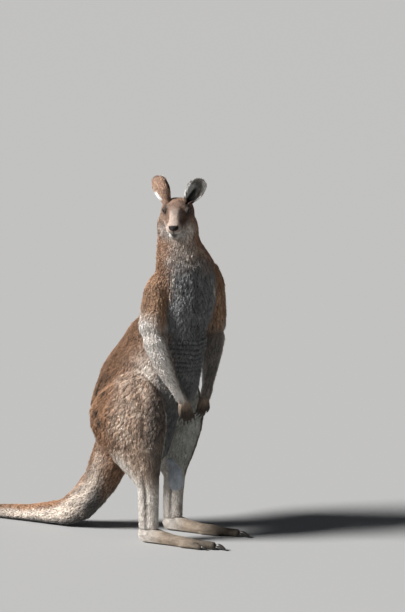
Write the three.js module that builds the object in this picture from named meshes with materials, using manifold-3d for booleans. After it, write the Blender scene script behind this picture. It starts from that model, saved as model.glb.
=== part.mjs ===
// A large male eastern grey kangaroo standing upright, life size, as a still museum model.
// Millimetres, +Z up, the floor at Z = 0. The hips face -Y, +X is the animal's left side, and
// the chest and head are turned towards the animal's right. Shapes are laid out from the point
// on the floor midway between the ankles; the finished group is centred at the end.
import * as THREE from "three";
import { mergeVertices } from "three/addons/utils/BufferGeometryUtils.js";
import Module from "manifold-3d";

const wasm = await Module();
wasm.setup();

// Driving dimensions
const GAP = 0.4; // the thin cut between two neighbouring pieces
const CHEST_TURN = -35; // degrees about +Z, towards the animal's right
const HEAD_TURN = -72;
const HEAD_PITCH = 28; // the muzzle points this far below the horizon
const EYES = [-51, -103, 1474]; // midpoint between the eyeballs
const EYE_BEHIND_NOSE = 116; // along the head
const EYE_HEIGHT = 15; // above the line of the nostrils
const EYE_SPREAD = 47; // from the middle of the head
const EYE_RADIUS = 13.5;
const EAR_LENGTH = 138; // from its seat inside the skull
const EAR_WIDTH = 70;
const EAR_WALL = 6;
const LEG_SPREAD = 124; // from the middle to each ankle
const THIGH_FORWARD = { right: 0, left: 30 }; // the left knee is held a little further forward
const FOOT_LENGTH = 388; // without the claws
const HEEL = 48; // reach of the heel behind the ankle
const TAIL_END = 1110; // how far behind the ankles the tail's tip lies
const SHOULDER = { right: [-110, -40, 1130], left: [110, -196, 1146] };
const ELBOW = { right: [-190, -48, 957], left: [108, -212, 940] };
const MID_FOREARM = { right: [-176, -114, 788], left: [86, -205, 778] };
const WRIST = { right: [-103, -162, 640], left: [45, -194, 630] };
const KNUCKLES = { right: [-92, -168, 588], left: [38, -187, 588] };
const FINGERTIPS = { right: [-84, -178, 552], left: [31, -181, 560] };
const SIDES = { right: -1, left: 1 };

const COLOURS = {
  back: [0x7a5f4a, 0.9],
  flank: [0x85705d, 0.9],
  pale: [0xb9ab98, 0.9],
  dark: [0x4a3f37, 0.9],
  skin: [0x2a2422, 0.6],
  eye: [0x120d0a, 0.15],
  claw: [0x1c1917, 0.4],
};

const v = (p) => new THREE.Vector3(...p);
const facing = (turn) => v([0, -1, 0]).applyAxisAngle(v([0, 0, 1]), THREE.MathUtils.degToRad(turn));
const rounded = (value, power) => Math.sign(value) * Math.abs(value) ** (2 / power);

// ---- A closed solid through rings -------------------------------------------------------------
// A station has its centre (at), its half width (side) and its reach to the front and back.
// It may have a turn about +Z in degrees, a power (2 is an ellipse, more is squarer) and an egg:
// the share by which it narrows towards its front.
// With level, the rings lie flat; otherwise they stand square to the path.
function rings(stations, { front, steps, level, grow }) {
  const path = (points) => new THREE.CatmullRomCurve3(points);
  const centres = path(stations.map((s) => v(s.at)));
  const reaches = path(stations.map((s) => v([s.side, s.front, s.back])));
  const manners = path(stations.map((s) => v([s.turn ?? 0, s.power ?? 2, s.egg ?? 0])));
  const count = steps * (stations.length - 1);
  return Array.from({ length: count + 1 }, (_, i) => {
    const t = i / count;
    const [side, ahead, behind] = reaches.getPoint(t).toArray();
    const [turn, power, egg] = manners.getPoint(t).toArray();
    const along = level ? v([0, 0, Math.sign(stations.at(-1).at[2] - stations[0].at[2])]) : centres.getTangent(t);
    const forward = v(front).applyAxisAngle(v([0, 0, 1]), THREE.MathUtils.degToRad(turn));
    forward.addScaledVector(along, -forward.dot(along)).normalize();
    return {
      centre: centres.getPoint(t),
      along,
      forward,
      across: forward.clone().cross(along),
      side: side + grow,
      front: ahead + grow,
      back: behind + grow,
      power,
      egg,
    };
  });
}

// Rings that round off an end, from the ring next to it outwards.
function dome(ring, reach, direction, count) {
  return Array.from({ length: count }, (_, k) => {
    const angle = ((k + 1) / (count + 1)) * (Math.PI / 2);
    const shrink = Math.cos(angle);
    return {
      ...ring,
      centre: ring.centre.clone().addScaledVector(ring.along, direction * reach * Math.sin(angle)),
      side: ring.side * shrink,
      front: ring.front * shrink,
      back: ring.back * shrink,
    };
  });
}

function loft(stations, options = {}) {
  const { sides = 16, steps = 2, front = [0, -1, 0], level = false, caps = [20, 20], capRings = 1 } = options;
  const grow = options.grow ?? 0;
  const body = rings(stations, { front, steps, level, grow });
  const reach = caps.map((cap) => cap + grow);
  const all = [
    ...dome(body[0], reach[0], -1, capRings).reverse(),
    ...body,
    ...dome(body.at(-1), reach[1], 1, capRings),
  ];
  const points = [];
  for (const ring of all)
    for (let j = 0; j < sides; j++) {
      const angle = (j / sides) * 2 * Math.PI;
      const ahead = rounded(Math.sin(angle), ring.power);
      const aside = rounded(Math.cos(angle), ring.power) * (1 - ring.egg * Math.max(0, ahead));
      points.push(
        ring.centre
          .clone()
          .addScaledVector(ring.across, ring.side * aside)
          .addScaledVector(ring.forward, ahead * (ahead > 0 ? ring.front : ring.back)),
      );
    }
  const first = points.length;
  points.push(body[0].centre.clone().addScaledVector(body[0].along, -reach[0]));
  points.push(body.at(-1).centre.clone().addScaledVector(body.at(-1).along, reach[1]));
  const faces = [];
  for (let j = 0; j < sides; j++) {
    const next = (j + 1) % sides;
    const last = (all.length - 1) * sides;
    faces.push([first, next, j], [first + 1, last + j, last + next]);
    for (let i = 0; i + 1 < all.length; i++) {
      const [a, b, c, d] = [i * sides + j, i * sides + next, (i + 1) * sides + next, (i + 1) * sides + j];
      faces.push([a, b, c], [a, c, d]);
    }
  }
  return solid(points.flatMap((p) => p.toArray()), faces.flat());
}

function solid(positions, indices) {
  return new wasm.Manifold(
    new wasm.Mesh({
      numProp: 3,
      vertProperties: new Float32Array(positions),
      triVerts: new Uint32Array(indices),
    }),
  );
}

// A three.js geometry as a solid in the model's frame.
function placed(geometry, position) {
  geometry.deleteAttribute("normal");
  geometry.deleteAttribute("uv");
  const merged = mergeVertices(geometry.translate(...position), 1e-3);
  return solid([...merged.attributes.position.array], [...merged.index.array]);
}

// ---- Joining and cutting ----------------------------------------------------------------------
const join = (solids) => solids.reduce((all, one) => all.add(one));
const biggest = (shape) => shape.decompose().sort((a, b) => b.volume() - a.volume())[0];
// A part is made twice: as it is, and grown by the gap to cut its seat in a neighbour.
const part = (make) => ({ shape: make(0), seat: make(GAP) });
const seated = (host, ...guests) => guests.reduce((shape, guest) => shape.subtract(guest.seat), host);
const above = (shape, normal, offset) => shape.trimByPlane(normal, offset + GAP / 2);
const below = (shape, normal, offset) => shape.trimByPlane(normal.map((n) => -n), GAP / 2 - offset);
const onFloor = (shape) => shape.trimByPlane([0, 0, 1], 0);

// The pieces of a shape between planes. Each cut is a point of the plane and the direction
// square to it, towards the next piece.
function slices(shape, cuts) {
  const planes = cuts.map(([point, direction]) => {
    const normal = v(direction).normalize();
    return { normal: normal.toArray(), offset: normal.dot(v(point)) };
  });
  return [...planes, null].map((high, i) => {
    const low = planes[i - 1];
    const from = low ? above(shape, low.normal, low.offset) : shape;
    return biggest(high ? below(from, high.normal, high.offset) : from);
  });
}

// ---- Trunk and neck ---------------------------------------------------------------------------
function trunk(grow) {
  const ring = (z, y, side, front, back, turn, egg = 0, x = 0) => {
    return { at: [x, y, z], side, front, back, turn, power: 2.1, egg };
  };
  return loft(
    [
      ring(334, 190, 66, 190, 84, 0),
      ring(380, 186, 102, 220, 110, 0),
      ring(450, 167, 124, 222, 145, 0),
      ring(530, 150, 146, 228, 174, -2),
      ring(590, 135, 156, 250, 194, -4, 0.1),
      ring(630, 118, 160, 280, 201, -5, 0.15),
      ring(680, 95, 161, 287, 207, -7, 0.17),
      ring(750, 60, 161, 270, 221, -11, 0.16),
      ring(820, 18, 160, 237, 221, -16, 0.12),
      ring(880, -20, 156, 206, 211, -20, 0.1),
      ring(940, -40, 151, 188, 190, -24, 0.06),
      ring(1020, -92, 147, 145, 145, -30),
      ring(1090, -115, 144, 126, 130, -34),
      ring(1165, -124, 138, 113, 118, -36),
      ring(1235, -115, 123, 100, 106, -41),
      ring(1300, -93, 98, 92, 94, -48),
      ring(1350, -88, 90, 88, 88, -55),
      ring(1400, -90, 90, 84, 84, -60, 0, -8),
      ring(1436, -90, 80, 74, 78, -66, 0, -14),
    ],
    { sides: 18, steps: 1, level: true, caps: [18, 26], grow },
  );
}

// ---- Tail: thick at the root, lying on the floor from its middle on ---------------------------
function tail(grow) {
  const ring = (y, z, side, up, down = up) => ({ at: [0, y, z], side, front: up, back: down });
  return loft(
    [
      ring(165, 500, 84, 84),
      ring(215, 400, 92, 95),
      ring(260, 300, 86, 88),
      ring(296, 225, 78, 80),
      ring(350, 162, 71, 72, 80),
      ring(404, 107, 66, 68, 82),
      ring(471, 64, 58, 60, 68),
      ring(570, 48, 47, 49, 49),
      ring(657, 40, 38, 39, 41),
      ring(773, 34, 32, 34, 35),
      ring(890, 27, 26, 28, 28),
      ring(1000, 20, 20, 21, 21),
      ring(TAIL_END - 16, 14, 13, 14, 15),
    ],
    { sides: 12, steps: 1, front: [0, 0, 1], caps: [30, 14], grow },
  );
}

// ---- Hind legs --------------------------------------------------------------------------------
// Flat rings from the ankle up to the top of the thigh. front and to are their ends along Y.
function leg(hand, grow) {
  const sign = SIDES[hand];
  const ring = (z, x, side, front, to, power = 2) => {
    const from = front - THIGH_FORWARD[hand] * THREE.MathUtils.smoothstep(z, 215, 410);
    const middle = (from + to) / 2;
    return { at: [sign * x, middle, z], side, front: middle - from, back: to - middle, power };
  };
  return loft(
    [
      ring(60, LEG_SPREAD, 33, -48, 46),
      ring(150, LEG_SPREAD + 1, 31, -50, 46, 2.3),
      ring(245, LEG_SPREAD + 7, 36, -55, 46, 2.2),
      ring(290, LEG_SPREAD + 13, 44, -60, 85),
      ring(340, LEG_SPREAD + 19, 53, -70, 134),
      ring(400, LEG_SPREAD + 27, 64, -82, 188),
      ring(460, LEG_SPREAD + 35, 75, -97, 236),
      ring(520, LEG_SPREAD + 38, 81, -107, 266),
      ring(590, LEG_SPREAD + 34, 81, -106, 267),
      ring(660, LEG_SPREAD + 25, 72, -84, 222),
      ring(728, LEG_SPREAD + 18, 48, -36, 146),
    ],
    { sides: 12, steps: 1, level: true, caps: [14, 34], grow },
  );
}

// ---- Hind feet: one great toe, one lesser toe outside it and a slim double toe inside ---------
const TOES = {
  great: { out: 2, start: 0.62, end: 1, radius: 21 },
  outer: { out: 31, start: 0.56, end: 0.84, radius: 13.5 },
  inner: { out: -24, start: 0.5, end: 0.73, radius: 9 },
};

function footSole(hand, grow) {
  const sign = SIDES[hand];
  const ring = (share, side, top, out = 0) => ({
    at: [sign * (LEG_SPREAD + out), HEEL - share * FOOT_LENGTH, top / 2],
    side,
    front: top / 2,
    back: top / 2 + 3,
    power: 2.5,
  });
  return loft(
    [
      ring(0.04, 27, 62),
      ring(0.13, 33, 82),
      ring(0.26, 33, 62),
      ring(0.42, 33, 47),
      ring(0.62, 38, 40, 4),
      ring(0.76, 27, 33, 6),
    ],
    { sides: 8, steps: 1, front: [0, 0, 1], caps: [14, 10], grow },
  );
}

function toe(hand, name, grow) {
  const { out, start, end, radius } = TOES[name];
  const sign = SIDES[hand];
  const ring = (share, scale, lift = 0) => ({
    at: [
      sign * (LEG_SPREAD + out),
      HEEL - THREE.MathUtils.lerp(start, end, share) * FOOT_LENGTH,
      radius * 0.86 + lift,
    ],
    side: radius * scale,
    front: radius * scale,
    back: radius * scale,
  });
  return loft([ring(0, 0.88), ring(0.45, 0.88, 2), ring(0.84, 0.92)], {
    sides: 6,
    steps: 1,
    front: [0, 0, 1],
    caps: [6, 12],
    grow,
  });
}

function toeClaw(hand, name, grow) {
  const { out, end, radius } = TOES[name];
  const sign = SIDES[hand];
  const tip = HEEL - end * FOOT_LENGTH;
  const ring = (forward, height, scale) => ({
    at: [sign * (LEG_SPREAD + out), tip + 8 - forward * radius, height * radius],
    side: radius * 0.52 * scale,
    front: radius * 0.6 * scale,
    back: radius * 0.5 * scale,
  });
  return loft([ring(0, 0.98, 0.8), ring(0.7, 0.98, 0.9), ring(1.4, 0.72, 0.66), ring(2, 0.4, 0.3)], {
    sides: 6,
    steps: 1,
    front: [0, 0, 1],
    caps: [2, 3],
    capRings: 0,
    grow,
  });
}

function foot(hand) {
  const claws = Object.fromEntries(
    Object.keys(TOES).map((name) => [name, part((grow) => toeClaw(hand, name, grow))]),
  );
  const whole = part((grow) =>
    join([footSole(hand, grow), ...Object.keys(TOES).map((name) => toe(hand, name, grow))]),
  );
  return { whole, claws };
}

// ---- Arms -------------------------------------------------------------------------------------
// Stations along the line between two joints: share of the way, half width, front, back, and
// how far the middle stands off the line, to the front.
function limb(from, to, sections, options) {
  const [a, b] = [v(from), v(to)];
  const forward = facing(CHEST_TURN);
  return loft(
    sections.map(([share, side, front, back, off = 0]) => ({
      at: a.clone().lerp(b, share).addScaledVector(forward, off).toArray(),
      side,
      front,
      back,
    })),
    { front: forward.toArray(), ...options },
  );
}

const upperArm = (hand, grow) =>
  limb(
    SHOULDER[hand],
    ELBOW[hand],
    [
      [-0.3, 34, 36, 40],
      [0, 57, 58, 60],
      [0.4, 60, 60, 62],
      [0.75, 59, 57, 61],
      [1, 54, 52, 60],
    ],
    { sides: 10, steps: 1, caps: [20, 24], grow },
  );

// The forearm bows outwards between elbow and wrist.
function forearm(hand, grow) {
  const bow = new THREE.QuadraticBezierCurve3(v(ELBOW[hand]), v([0, 0, 0]), v(WRIST[hand]));
  bow.v1.copy(v(MID_FOREARM[hand]).multiplyScalar(2).addScaledVector(bow.v0, -0.5).addScaledVector(bow.v2, -0.5));
  const ring = (share, side, front, back) => ({ at: bow.getPoint(share).toArray(), side, front, back });
  return loft(
    [
      ring(-0.02, 40, 38, 44),
      ring(0.13, 52, 50, 54),
      ring(0.3, 47, 46, 48),
      ring(0.52, 38, 37, 37),
      ring(0.78, 26, 26, 25),
      ring(1.0, 25, 21, 19),
    ],
    { sides: 10, steps: 1, caps: [24, 14], front: facing(CHEST_TURN).toArray(), grow },
  );
}

// The palm is flat, with five fingers that fan out and curl back at the tips.
const FINGERS = ["thumb", "second", "third", "fourth", "fifth"];
const FINGER_RADIUS = 8.5;
const FAN = 13; // between the fingers where they leave the palm

function handFrame(hand) {
  const down = v(KNUCKLES[hand]).sub(v(WRIST[hand])).normalize();
  const forward = facing(CHEST_TURN + (hand === "right" ? -8 : 8));
  forward.addScaledVector(down, -forward.dot(down)).normalize();
  return { down, forward, across: forward.clone().cross(down).multiplyScalar(-SIDES[hand]) };
}

const palm = (hand, grow) =>
  limb(
    WRIST[hand],
    KNUCKLES[hand],
    [
      [-0.1, 24, 19, 17],
      [0.35, 32, 18, 17],
      [0.8, 36, 17, 16],
      [1.1, 33, 15, 14],
    ],
    { sides: 8, steps: 1, caps: [8, 8], capRings: 0, front: handFrame(hand).forward.toArray(), grow },
  );

// Points along a finger or its claw: how far down, forward and, for the fan, across.
function fingerPoint(hand, index, along) {
  const { down, forward, across } = handFrame(hand);
  const fan = index - 2;
  const bend = Math.max(0, along - 0.35);
  const reach = v(KNUCKLES[hand]).distanceTo(v(FINGERTIPS[hand])) * (index === 0 ? 0.8 : 1);
  const lift = index === 0 ? 9 : 0;
  return v(KNUCKLES[hand])
    .addScaledVector(down, along * reach * (1 - 0.1 * bend) - Math.abs(fan) * 3 - lift)
    .addScaledVector(across, fan * (FAN + along * 3))
    .addScaledVector(forward, 6 - 9 * bend * bend);
}

function finger(hand, index, grow) {
  const ring = (along, scale) => ({
    at: fingerPoint(hand, index, along).toArray(),
    side: FINGER_RADIUS * scale,
    front: FINGER_RADIUS * scale,
    back: FINGER_RADIUS * scale,
  });
  return loft([ring(-0.35, 0.8), ring(0.45, 1), ring(1, 0.86)], {
    sides: 5,
    steps: 1,
    front: handFrame(hand).forward.toArray(),
    caps: [4, 6],
    capRings: 0,
    grow,
  });
}

function fingerClaw(hand, index, grow) {
  const ring = (along, scale) => ({
    at: fingerPoint(hand, index, along).toArray(),
    side: 4.2 * scale,
    front: 4.8 * scale,
    back: 4.2 * scale,
  });
  return loft([ring(0.96, 0.9), ring(1.25, 1), ring(1.65, 0.35)], {
    sides: 5,
    steps: 1,
    front: handFrame(hand).forward.toArray(),
    caps: [2, 2.5],
    capRings: 0,
    grow,
  });
}

function forepaw(hand) {
  const claws = FINGERS.map((_, index) => part((grow) => fingerClaw(hand, index, grow)));
  const whole = part((grow) => join([palm(hand, grow), ...FINGERS.map((_, index) => finger(hand, index, grow))]));
  return { whole, claws };
}

// ---- Head -------------------------------------------------------------------------------------
const pitch = THREE.MathUtils.degToRad(HEAD_PITCH);
const headForward = facing(HEAD_TURN).multiplyScalar(Math.cos(pitch)).add(v([0, 0, -Math.sin(pitch)]));
const headUp = facing(HEAD_TURN).multiplyScalar(Math.sin(pitch)).add(v([0, 0, Math.cos(pitch)]));
const headLeft = headUp.clone().cross(headForward);

// A point of the head: how far behind the nose tip, to the animal's left and up from its line.
function inHead(behind, left, up) {
  return v(EYES)
    .addScaledVector(headForward, EYE_BEHIND_NOSE - behind)
    .addScaledVector(headLeft, left)
    .addScaledVector(headUp, up - EYE_HEIGHT);
}

function skull(grow) {
  const ring = (behind, side, top, bottom, power = 2.2, egg = 0) => {
    const middle = (top + bottom) / 2;
    return { at: inHead(behind, 0, middle).toArray(), side, front: top - middle, back: middle - bottom, power, egg };
  };
  return loft(
    [
      ring(5, 23, 10, -29, 2.5, 0.1),
      ring(15, 33, 16, -40, 2.5, 0.15),
      ring(36, 41, 23, -47, 2.5, 0.26),
      ring(64, 44, 30, -52, 2.4, 0.26),
      ring(90, 50, 39, -65, 2.2, 0.15),
      ring(114, 63, 46, -76),
      ring(140, 73, 48, -84),
      ring(165, 74, 41, -86),
      ring(190, 65, 23, -80),
      ring(212, 44, -4, -58),
    ],
    { sides: 14, steps: 1, front: headUp.toArray(), caps: [5, 14], grow },
  );
}

function jaw(grow) {
  const ring = (behind, side, top, bottom) => {
    const middle = (top + bottom) / 2;
    return { at: inHead(behind, 0, middle).toArray(), side, front: top - middle, back: middle - bottom, power: 2.4 };
  };
  return loft(
    [
      ring(15, 16, -38, -60),
      ring(28, 26, -40, -71),
      ring(60, 32, -43, -77),
      ring(94, 38, -48, -82),
      ring(124, 43, -56, -83),
    ],
    { sides: 10, steps: 1, front: headUp.toArray(), caps: [5, 14], grow },
  );
}

function nose(grow) {
  const geometry = new THREE.SphereGeometry(1, 8, 6).scale(9 + grow, 18 + grow, 11 + grow);
  const basis = new THREE.Matrix4().makeBasis(headForward, headLeft, headUp);
  return placed(geometry.applyMatrix4(basis), inHead(7, 0, 2).toArray());
}

function eye(hand, grow) {
  const geometry = new THREE.SphereGeometry(EYE_RADIUS + grow, 8, 6);
  return placed(geometry, inHead(EYE_BEHIND_NOSE, SIDES[hand] * EYE_SPREAD, EYE_HEIGHT).toArray());
}

// An ear is a cup: past its root the front of each ring lies behind the middle, so that the
// section is a crescent. lean is the direction from root to tip, open is where the cup looks.
const EARS = {
  right: { root: [150, -40, 20], lean: [-0.4, 0.12, 0.92], open: 150 },
  left: { root: [150, 36, 20], lean: [0.58, 0.12, 0.82], open: -10 },
};

function ear(hand, grow) {
  const { root, lean, open } = EARS[hand];
  const outward = headLeft.clone().setZ(0).normalize();
  const backward = facing(HEAD_TURN).negate();
  const axis = outward
    .clone()
    .multiplyScalar(lean[0])
    .addScaledVector(backward, lean[1])
    .add(v([0, 0, lean[2]]))
    .normalize();
  const look = facing(HEAD_TURN - open);
  const start = inHead(...root);
  // front is how far the section reaches forwards: below nought it is hollow
  const ring = (share, width, back, front) => ({
    at: start.clone().addScaledVector(axis, share * EAR_LENGTH).toArray(),
    side: (width * EAR_WIDTH) / 2,
    back: back * EAR_WIDTH,
    front: front * EAR_WIDTH,
  });
  const wall = EAR_WALL / EAR_WIDTH;
  return loft(
    [
      ring(-0.02, 0.5, 0.22, 0.2),
      ring(0.14, 0.56, 0.26, 0.2),
      ring(0.24, 0.66, 0.3, 0.02),
      ring(0.35, 0.86, 0.35, wall - 0.35),
      ring(0.5, 1, 0.35, wall - 0.35),
      ring(0.66, 0.97, 0.3, wall - 0.3),
      ring(0.81, 0.78, 0.22, wall - 0.22),
      ring(0.93, 0.46, 0.15, wall - 0.15),
    ],
    { sides: 10, steps: 1, front: look.toArray(), caps: [6, 8], grow },
  );
}

// ---- Scrotum: hangs in front of the groin, as in every male of the species --------------------
function scrotum(grow) {
  const ring = (z, y, side, reach) => ({ at: [0, y, z], side, front: reach, back: reach });
  return loft(
    [
      ring(350, -46, 15, 15),
      ring(326, -60, 20, 20),
      ring(297, -72, 34, 32),
      ring(260, -76, 39, 36),
      ring(230, -74, 32, 30),
    ],
    { sides: 10, steps: 1, caps: [10, 16], grow },
  );
}

// ---- Assembly ---------------------------------------------------------------------------------
const model = new THREE.Group();

function show(name, shape, colour) {
  const mesh = biggest(shape).getMesh();
  const geometry = new THREE.BufferGeometry();
  geometry.setAttribute("position", new THREE.BufferAttribute(Float32Array.from(mesh.vertProperties), 3));
  geometry.setIndex(new THREE.BufferAttribute(Uint32Array.from(mesh.triVerts), 1));
  geometry.computeVertexNormals();
  geometry.computeBoundingBox();
  const middle = geometry.boundingBox.getCenter(new THREE.Vector3()).round();
  geometry.translate(-middle.x, -middle.y, -middle.z);
  const [tint, roughness] = COLOURS[colour];
  const piece = new THREE.Mesh(geometry, new THREE.MeshStandardMaterial({ color: tint, roughness, metalness: 0 }));
  piece.name = name;
  piece.position.copy(middle);
  model.add(piece);
}

const hands = Object.keys(SIDES);
const each = (make) => Object.fromEntries(hands.map((hand) => [hand, make(hand)]));

const legs = each((hand) => part((grow) => leg(hand, grow)));
const feet = each(foot);
const upperArms = each((hand) => part((grow) => upperArm(hand, grow)));
const forearms = each((hand) => part((grow) => forearm(hand, grow)));
const paws = each(forepaw);
const ears = each((hand) => part((grow) => ear(hand, grow)));
const eyes = each((hand) => part((grow) => eye(hand, grow)));
const tailPart = part(tail);
const skullPart = part(skull);
const jawPart = part(jaw);
const nosePart = part(nose);
const scrotumPart = part(scrotum);

const body = seated(
  trunk(0),
  ...hands.flatMap((hand) => [legs[hand], upperArms[hand], forearms[hand], paws[hand].whole]),
  tailPart,
  skullPart,
  jawPart,
  scrotumPart,
);
const TRUNK_CUTS = [[0, 100, 560], [0, -40, 930], [0, -110, 1215]].map((point) => [point, [0, 0.15, 1]]);
const TRUNK_COLOURS = { rump: "back", belly: "pale", chest: "back", neck: "flank" };
const trunkPieces = slices(body, TRUNK_CUTS);
Object.entries(TRUNK_COLOURS).forEach(([name, colour], i) => show(name, trunkPieces[i], colour));

const tailShape = onFloor(seated(tailPart.shape, legs.right, legs.left));
const TAIL_CUTS = [[[0, 325, 190], [0, 1, -1.2]], [[0, 560, 48], [0, 1, 0]], [[0, 830, 30], [0, 1, 0]]];
const TAIL_COLOURS = { tail_root: "back", tail_middle: "back", tail_end: "flank", tail_tip: "dark" };
const tailPieces = slices(tailShape, TAIL_CUTS);
Object.entries(TAIL_COLOURS).forEach(([name, colour], i) => show(name, tailPieces[i], colour));

show("head", seated(skullPart.shape, jawPart, nosePart, ears.right, ears.left, eyes.right, eyes.left), "flank");
show("jaw", seated(jawPart.shape, nosePart), "pale");
show("nose", nosePart.shape, "skin");
show("scrotum", scrotumPart.shape, "pale");

for (const hand of hands) {
  show(`ear_${hand}`, ears[hand].shape, "back");
  show(`eye_${hand}`, eyes[hand].shape, "eye");
  show(`upper_arm_${hand}`, seated(upperArms[hand].shape, forearms[hand]), "flank");
  show(`forearm_${hand}`, seated(forearms[hand].shape, paws[hand].whole), "pale");
  show(`hand_${hand}`, seated(paws[hand].whole.shape, ...paws[hand].claws), "dark");
  paws[hand].claws.forEach((claw, i) => show(`claw_${FINGERS[i]}_${hand}`, claw.shape, "claw"));
  const [shank, thigh] = slices(legs[hand].shape, [[[0, 25, 420], [0, 0.4, 1]]]);
  show(`thigh_${hand}`, thigh, "flank");
  show(`shank_${hand}`, seated(shank, feet[hand].whole), "pale");
  show(`foot_${hand}`, onFloor(seated(feet[hand].whole.shape, ...Object.values(feet[hand].claws))), "dark");
  for (const [name, claw] of Object.entries(feet[hand].claws))
    show(`claw_${name}_toe_${hand}`, onFloor(claw.shape), "claw");
}

// The origin lies on the floor, under the middle of the whole animal's box.
const box = new THREE.Box3().setFromObject(model);
const centre = box.getCenter(new THREE.Vector3());
model.position.set(-centre.x, -centre.y, -box.min.z);

export default model;
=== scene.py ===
"""A life-size eastern grey kangaroo: skin, coat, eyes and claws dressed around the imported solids."""
import math

import bmesh
import bpy
import numpy as np
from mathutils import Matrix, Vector
from mathutils.bvhtree import BVHTree


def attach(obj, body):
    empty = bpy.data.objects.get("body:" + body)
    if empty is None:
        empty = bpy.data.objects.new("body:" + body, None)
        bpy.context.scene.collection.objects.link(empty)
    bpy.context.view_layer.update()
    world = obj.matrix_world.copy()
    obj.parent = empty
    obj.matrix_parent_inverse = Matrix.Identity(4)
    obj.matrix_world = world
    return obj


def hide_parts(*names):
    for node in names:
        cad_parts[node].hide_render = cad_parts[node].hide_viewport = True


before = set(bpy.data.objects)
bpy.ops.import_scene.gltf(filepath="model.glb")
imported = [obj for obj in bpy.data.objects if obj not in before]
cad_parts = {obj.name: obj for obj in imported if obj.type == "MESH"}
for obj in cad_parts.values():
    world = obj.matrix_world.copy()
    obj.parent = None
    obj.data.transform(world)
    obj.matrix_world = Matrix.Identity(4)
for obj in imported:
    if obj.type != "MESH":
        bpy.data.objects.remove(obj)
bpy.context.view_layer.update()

MM = 0.001

# ---- Layout ----
# Places are written in millimetres from the point on the floor midway between the ankles, as the
# solids are laid out: +X is the animal's left, -Y the way the hips face, +Z up.
ANKLES = np.array([0.0, -365.7, 0.0]) * MM
CHEST_TURN = -35
HEAD_TURN = -72
HEAD_PITCH = 28
EYES = np.array([-51.0, -103, 1474])
EYE_BEHIND_NOSE = 116
EYE_HEIGHT = 15
EYE_SPREAD = 47
EYE_RADIUS = 13.5
EAR_LENGTH = 138
EAR_WIDTH = 70
LEG_SPREAD = 124
FOOT_LENGTH = 388
HEEL = 48
SHOULDER = {"right": (-110, -40, 1130), "left": (110, -196, 1146)}
ELBOW = {"right": (-190, -48, 957), "left": (108, -212, 940)}
WRIST = {"right": (-103, -162, 640), "left": (45, -194, 630)}
KNUCKLES = {"right": (-92, -168, 588), "left": (38, -187, 588)}
FINGERTIPS = {"right": (-84, -178, 552), "left": (31, -181, 560)}
SIDES = {"right": -1, "left": 1}


def heading(turn):
    """The level direction that a turn in degrees from -Y faces."""
    angle = math.radians(turn)
    return np.array([math.sin(angle), -math.cos(angle), 0.0])


def in_row(points):
    """Places of the layout, in millimetres, as the row's own metres."""
    return points * MM + ANKLES


def in_layout(places):
    """The reverse of in_row."""
    return (places - ANKLES) / MM


def unit(vector):
    vector = np.asarray(vector, float)
    return vector / np.maximum(np.linalg.norm(vector, axis=-1, keepdims=True), 1e-9)


def dot(a, b):
    return (a * b).sum(-1)


UP = np.array([0.0, 0, 1])
PITCH = math.radians(HEAD_PITCH)
HEAD_FORWARD = heading(HEAD_TURN) * math.cos(PITCH) - UP * math.sin(PITCH)
HEAD_UP = heading(HEAD_TURN) * math.sin(PITCH) + UP * math.cos(PITCH)
HEAD_LEFT = np.cross(HEAD_UP, HEAD_FORWARD)


def in_head(behind, left, up):
    """A point of the head: behind the nose tip, to the animal's left, up from the nostrils' line."""
    return (
        EYES
        + HEAD_FORWARD * (EYE_BEHIND_NOSE - behind)
        + HEAD_LEFT * left
        + HEAD_UP * (up - EYE_HEIGHT)
    )


def head_places(points):
    """The reverse of in_head, for many points: columns behind, left and up."""
    rel = points - EYES
    return np.stack(
        [EYE_BEHIND_NOSE - rel @ HEAD_FORWARD, rel @ HEAD_LEFT, rel @ HEAD_UP + EYE_HEIGHT], -1
    )


# ---- Number helpers ----
def ramp(value, low, high):
    """0 below low, 1 above high, smooth between."""
    t = np.clip((value - low) / (high - low), 0, 1)
    return t * t * (3 - 2 * t)


def bell(distance, width):
    return np.exp(-((distance / width) ** 2))


def apart(points, place):
    return np.linalg.norm(points - place, axis=-1)


def mix(first, second, share):
    return first * (1 - share) + second * share


def blend(first, second, share):
    """Two colours, or lists of colours, mixed by each point's own share of the second."""
    return mix(first, second, np.asarray(share, float)[:, None])


def scatter(cells, seed):
    """A number from 0 to 1 for each cell of a grid, always the same for the same cell and seed."""
    c = cells.astype(np.uint64)
    h = c[:, 0] * np.uint64(73856093) ^ c[:, 1] * np.uint64(19349663) ^ c[:, 2] * np.uint64(83492791)
    h = (h ^ np.uint64(seed * 2654435761 + 97)) * np.uint64(6364136223846793005)
    return ((h >> np.uint64(33)) & np.uint64(0xFFFFF)) / 0xFFFFF


def noise(points, size, seed=0):
    """Smooth noise from -1 to 1 with features of a given size."""
    q = points / size
    cell = np.floor(q).astype(np.int64)
    f = q - cell
    f = f * f * (3 - 2 * f)
    total = np.zeros(len(points))
    for corner in range(8):
        step = np.array([corner & 1, corner >> 1 & 1, corner >> 2 & 1])
        weight = np.prod(np.where(step, f, 1 - f), axis=1)
        total += weight * (2 * scatter(cell + step, seed) - 1)
    return total


def along_line(points, line):
    """Distance from each point to a line of points, and how far along it the nearest spot is, 0 to 1."""
    line = np.asarray(line, float)
    line = line[np.concatenate([[True], np.linalg.norm(np.diff(line, axis=0), axis=1) > 0.1])]
    lengths = np.linalg.norm(np.diff(line, axis=0), axis=1)
    starts = np.concatenate([[0], np.cumsum(lengths)])
    best = np.full(len(points), np.inf)
    place = np.zeros(len(points))
    for i, length in enumerate(lengths):
        step = line[i + 1] - line[i]
        t = np.clip((points - line[i]) @ step / length**2, 0, 1)
        away = np.linalg.norm(points - line[i] - t[:, None] * step, axis=1)
        nearer = away < best
        best[nearer] = away[nearer]
        place[nearer] = (starts[i] + t[nearer] * length) / starts[-1]
    return best, place


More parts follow.
